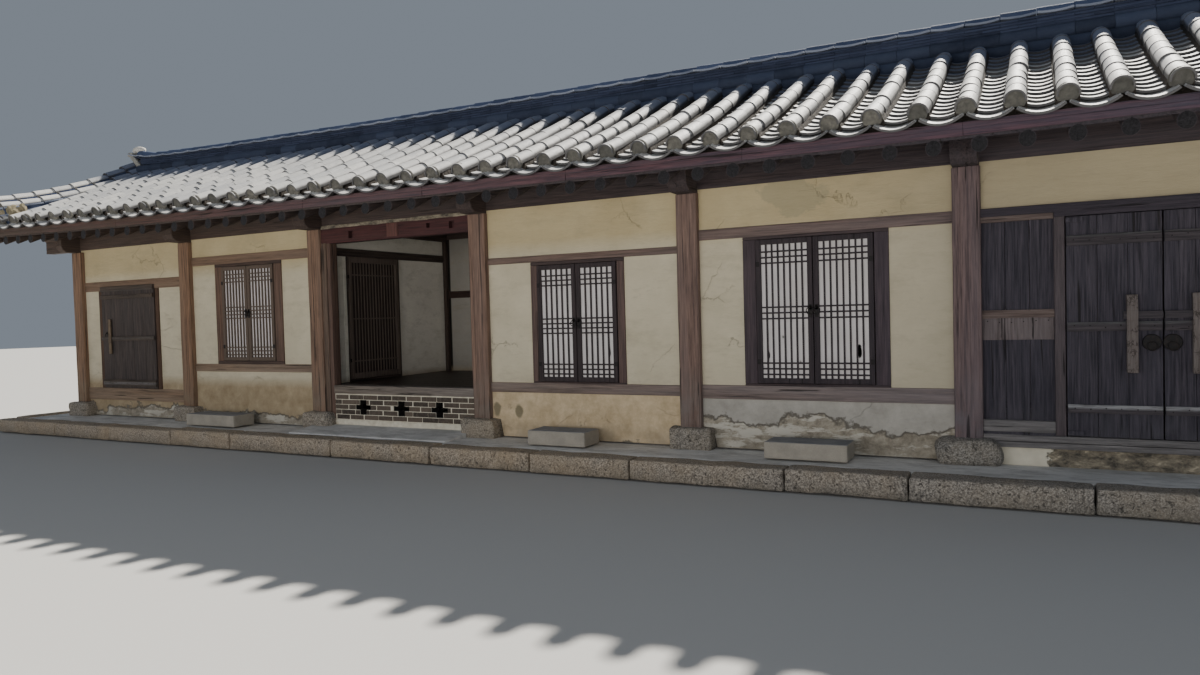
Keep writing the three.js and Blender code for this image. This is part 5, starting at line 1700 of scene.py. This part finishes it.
# Storeroom gate
# Two wide leaves on wooden pivots, with a bolt that slides through two slotted keepers and an
# iron lock boss where they meet. Leaves, keepers and bolt are of the same weathered pine.
leaf_foot = 0.433
gate_battens = [
    (leaf_foot + low, leaf_foot + high) for low, high in ((0.190, 0.255), (0.820, 0.890), (1.480, 1.560))
]
meeting = 6.180
keeper_face = -1.345
boss_z = 1.165
for node, end in (("gate_left_leaf", -1), ("gate_right_leaf", 1)):
    low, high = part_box(node)
    x0 = low.x + by_pivot if end < 0 else low.x
    x1 = high.x if end < 0 else high.x - by_pivot
    widths = (1.05, 1.0, 1.1) if end < 0 else (0.95, 1.1, 1.0)
    leaf = plank_door(x0, x1, low.z, high.z, widths, gate_battens)
    left, right = (5.944, 6.017) if end < 0 else (6.352, 6.425)
    for z0, z1 in ((0.938, 1.334), (1.406, 1.526)):
        keeper = block((left, keeper_face, z0), (right, plank_face, z1), 0.006, 5, along=2)
        leaf += coat(pale_wood, wear(keeper, 0.006, 0.08))
    leaf += coat(pale_wood, block((left, keeper_face, 1.330), (right, -1.330, 1.410), 0.003))
    left, right = (5.925, meeting - 0.005) if end < 0 else (meeting + 0.005, 6.448)
    bolt = block((left, -1.328, 1.345), (right, -1.292, 1.400), 0.004, 4, along=0)
    leaf += coat(batten_wood, wear(bolt, 0.003, 0.1))
    boss_x = meeting - 0.075 if end < 0 else meeting + 0.055
    boss = shape(
        bpy.ops.mesh.primitive_cylinder_add, vertices=24, radius=0.062, depth=0.022,
        location=(boss_x, plank_face - 0.010, boss_z), rotation=facing_front,
    )
    leaf += coat(black_iron, edit(boss, eased(0.008, 3)))
    leaf += ring_pull(boss_x, plank_face - 0.020, boss_z, 0.034)
    left, right = (x0, x0 + 0.115) if end < 0 else (x1 - 0.115, x1)
    for z0, z1 in ((high.z - 0.045, high.z - 0.010), (low.z + 0.008, low.z + 0.045)):
        leaf += coat(plank_wood, block((left, -1.300, z0), (right, plank_face + 0.003, z1), 0.004))
    settle(node + "_planks", leaf, (node,), body=node)

pale_rail = timber_finish(
    "pale gate rail", "x", (0.085, 0.055, 0.042), (0.290, 0.215, 0.170), (0.185, 0.140, 0.115), 0.6,
    relief=0.006,
)
threshold_wood = timber_finish(
    "gate threshold", "x", (0.110, 0.100, 0.088), (0.370, 0.340, 0.295), (0.27, 0.25, 0.22), 0.6,
    relief=0.008,
)
gate_posts = timber_finish(
    "gate post", "z", (0.046, 0.036, 0.036), (0.165, 0.125, 0.118), (0.125, 0.105, 0.102), 0.55, relief=0.006,
)
gate_beam = timber_finish(
    "gate beam", "x", (0.020, 0.016, 0.020), (0.075, 0.058, 0.066), (0.055, 0.048, 0.058)
)
nailed_strip = timber_finish(
    "nailed strip", "z", (0.080, 0.060, 0.052), (0.310, 0.250, 0.222), (0.20, 0.165, 0.150), 0.7,
    relief=0.007,
)
left_panel, right_panel, whole_gate = (4.950, 5.470), (6.890, 7.170), (4.950, 7.170)
between_panels = (5.470, 6.890)
panel_y = (-1.290, timber_back)
gate_timbers = [
    *lying(bay_span(6), (2.180, 2.247), gate_beam, (-1.297, timber_back)),
    *lying(left_panel, (2.136, 2.182), pale_rail, panel_y),
    *lying(between_panels, (2.145, 2.190), gate_beam, (-1.296, timber_back)),
    *lying(right_panel, (2.136, 2.182), pale_rail, panel_y),
    *lying(left_panel, (0.455, 0.546), threshold_wood, panel_y),
    *lying(right_panel, (0.455, 0.546), threshold_wood, panel_y),
    *lying(whole_gate, (0.330, 0.377), threshold_wood, (-1.297, timber_back)),
    *lying(whole_gate, (0.381, leaf_foot), threshold_wood, (-1.301, timber_back)),
    *lying(left_panel, (0.430, 0.456), plank_wood, (-1.280, timber_back)),
    *lying(right_panel, (0.430, 0.456), plank_wood, (-1.280, timber_back)),
    *standing((5.470, 5.545), (leaf_foot, 2.180), gate_posts, (-1.276, timber_back)),
    *standing((6.815, 6.890), (leaf_foot, 2.180), gate_posts, (-1.276, timber_back)),
]
strip_nails = 6
for x0, x1, count in ((4.950, 5.472, 3), (6.888, 7.170, 2)):
    for i in range(count):
        left, right = (x0 + (x1 - x0) * n / count for n in (i, i + 1))
        face = -1.244 - chance.uniform(0, 0.003)
        board = block((left + 0.0012, face, 0.540), (right - 0.0012, -1.205, 2.150), 0.003, 8, along=2)
        gate_timbers += coat(plank_wood, wear(board, 0.004, 0.25))
    gate_timbers += lying((x0, x1), (1.366, 1.430), pale_rail, (-1.268, -1.215))
    patch = block((x0 + 0.004, -1.2535, 1.190), (x1 - 0.004, -1.225, 1.368), 0.002, 5)
    gate_timbers += coat(nailed_strip, wear(patch, 0.010, 0.06))
    gate_timbers += nail_heads([
        (x0 + (x1 - x0) * (i + 0.5) / strip_nails, -1.2555, z + chance.uniform(-0.008, 0.008))
        for i in range(strip_nails) for z in (1.335, 1.40)
    ], 0.005)
settle("gate_timbers", gate_timbers, ("gate_frame",))
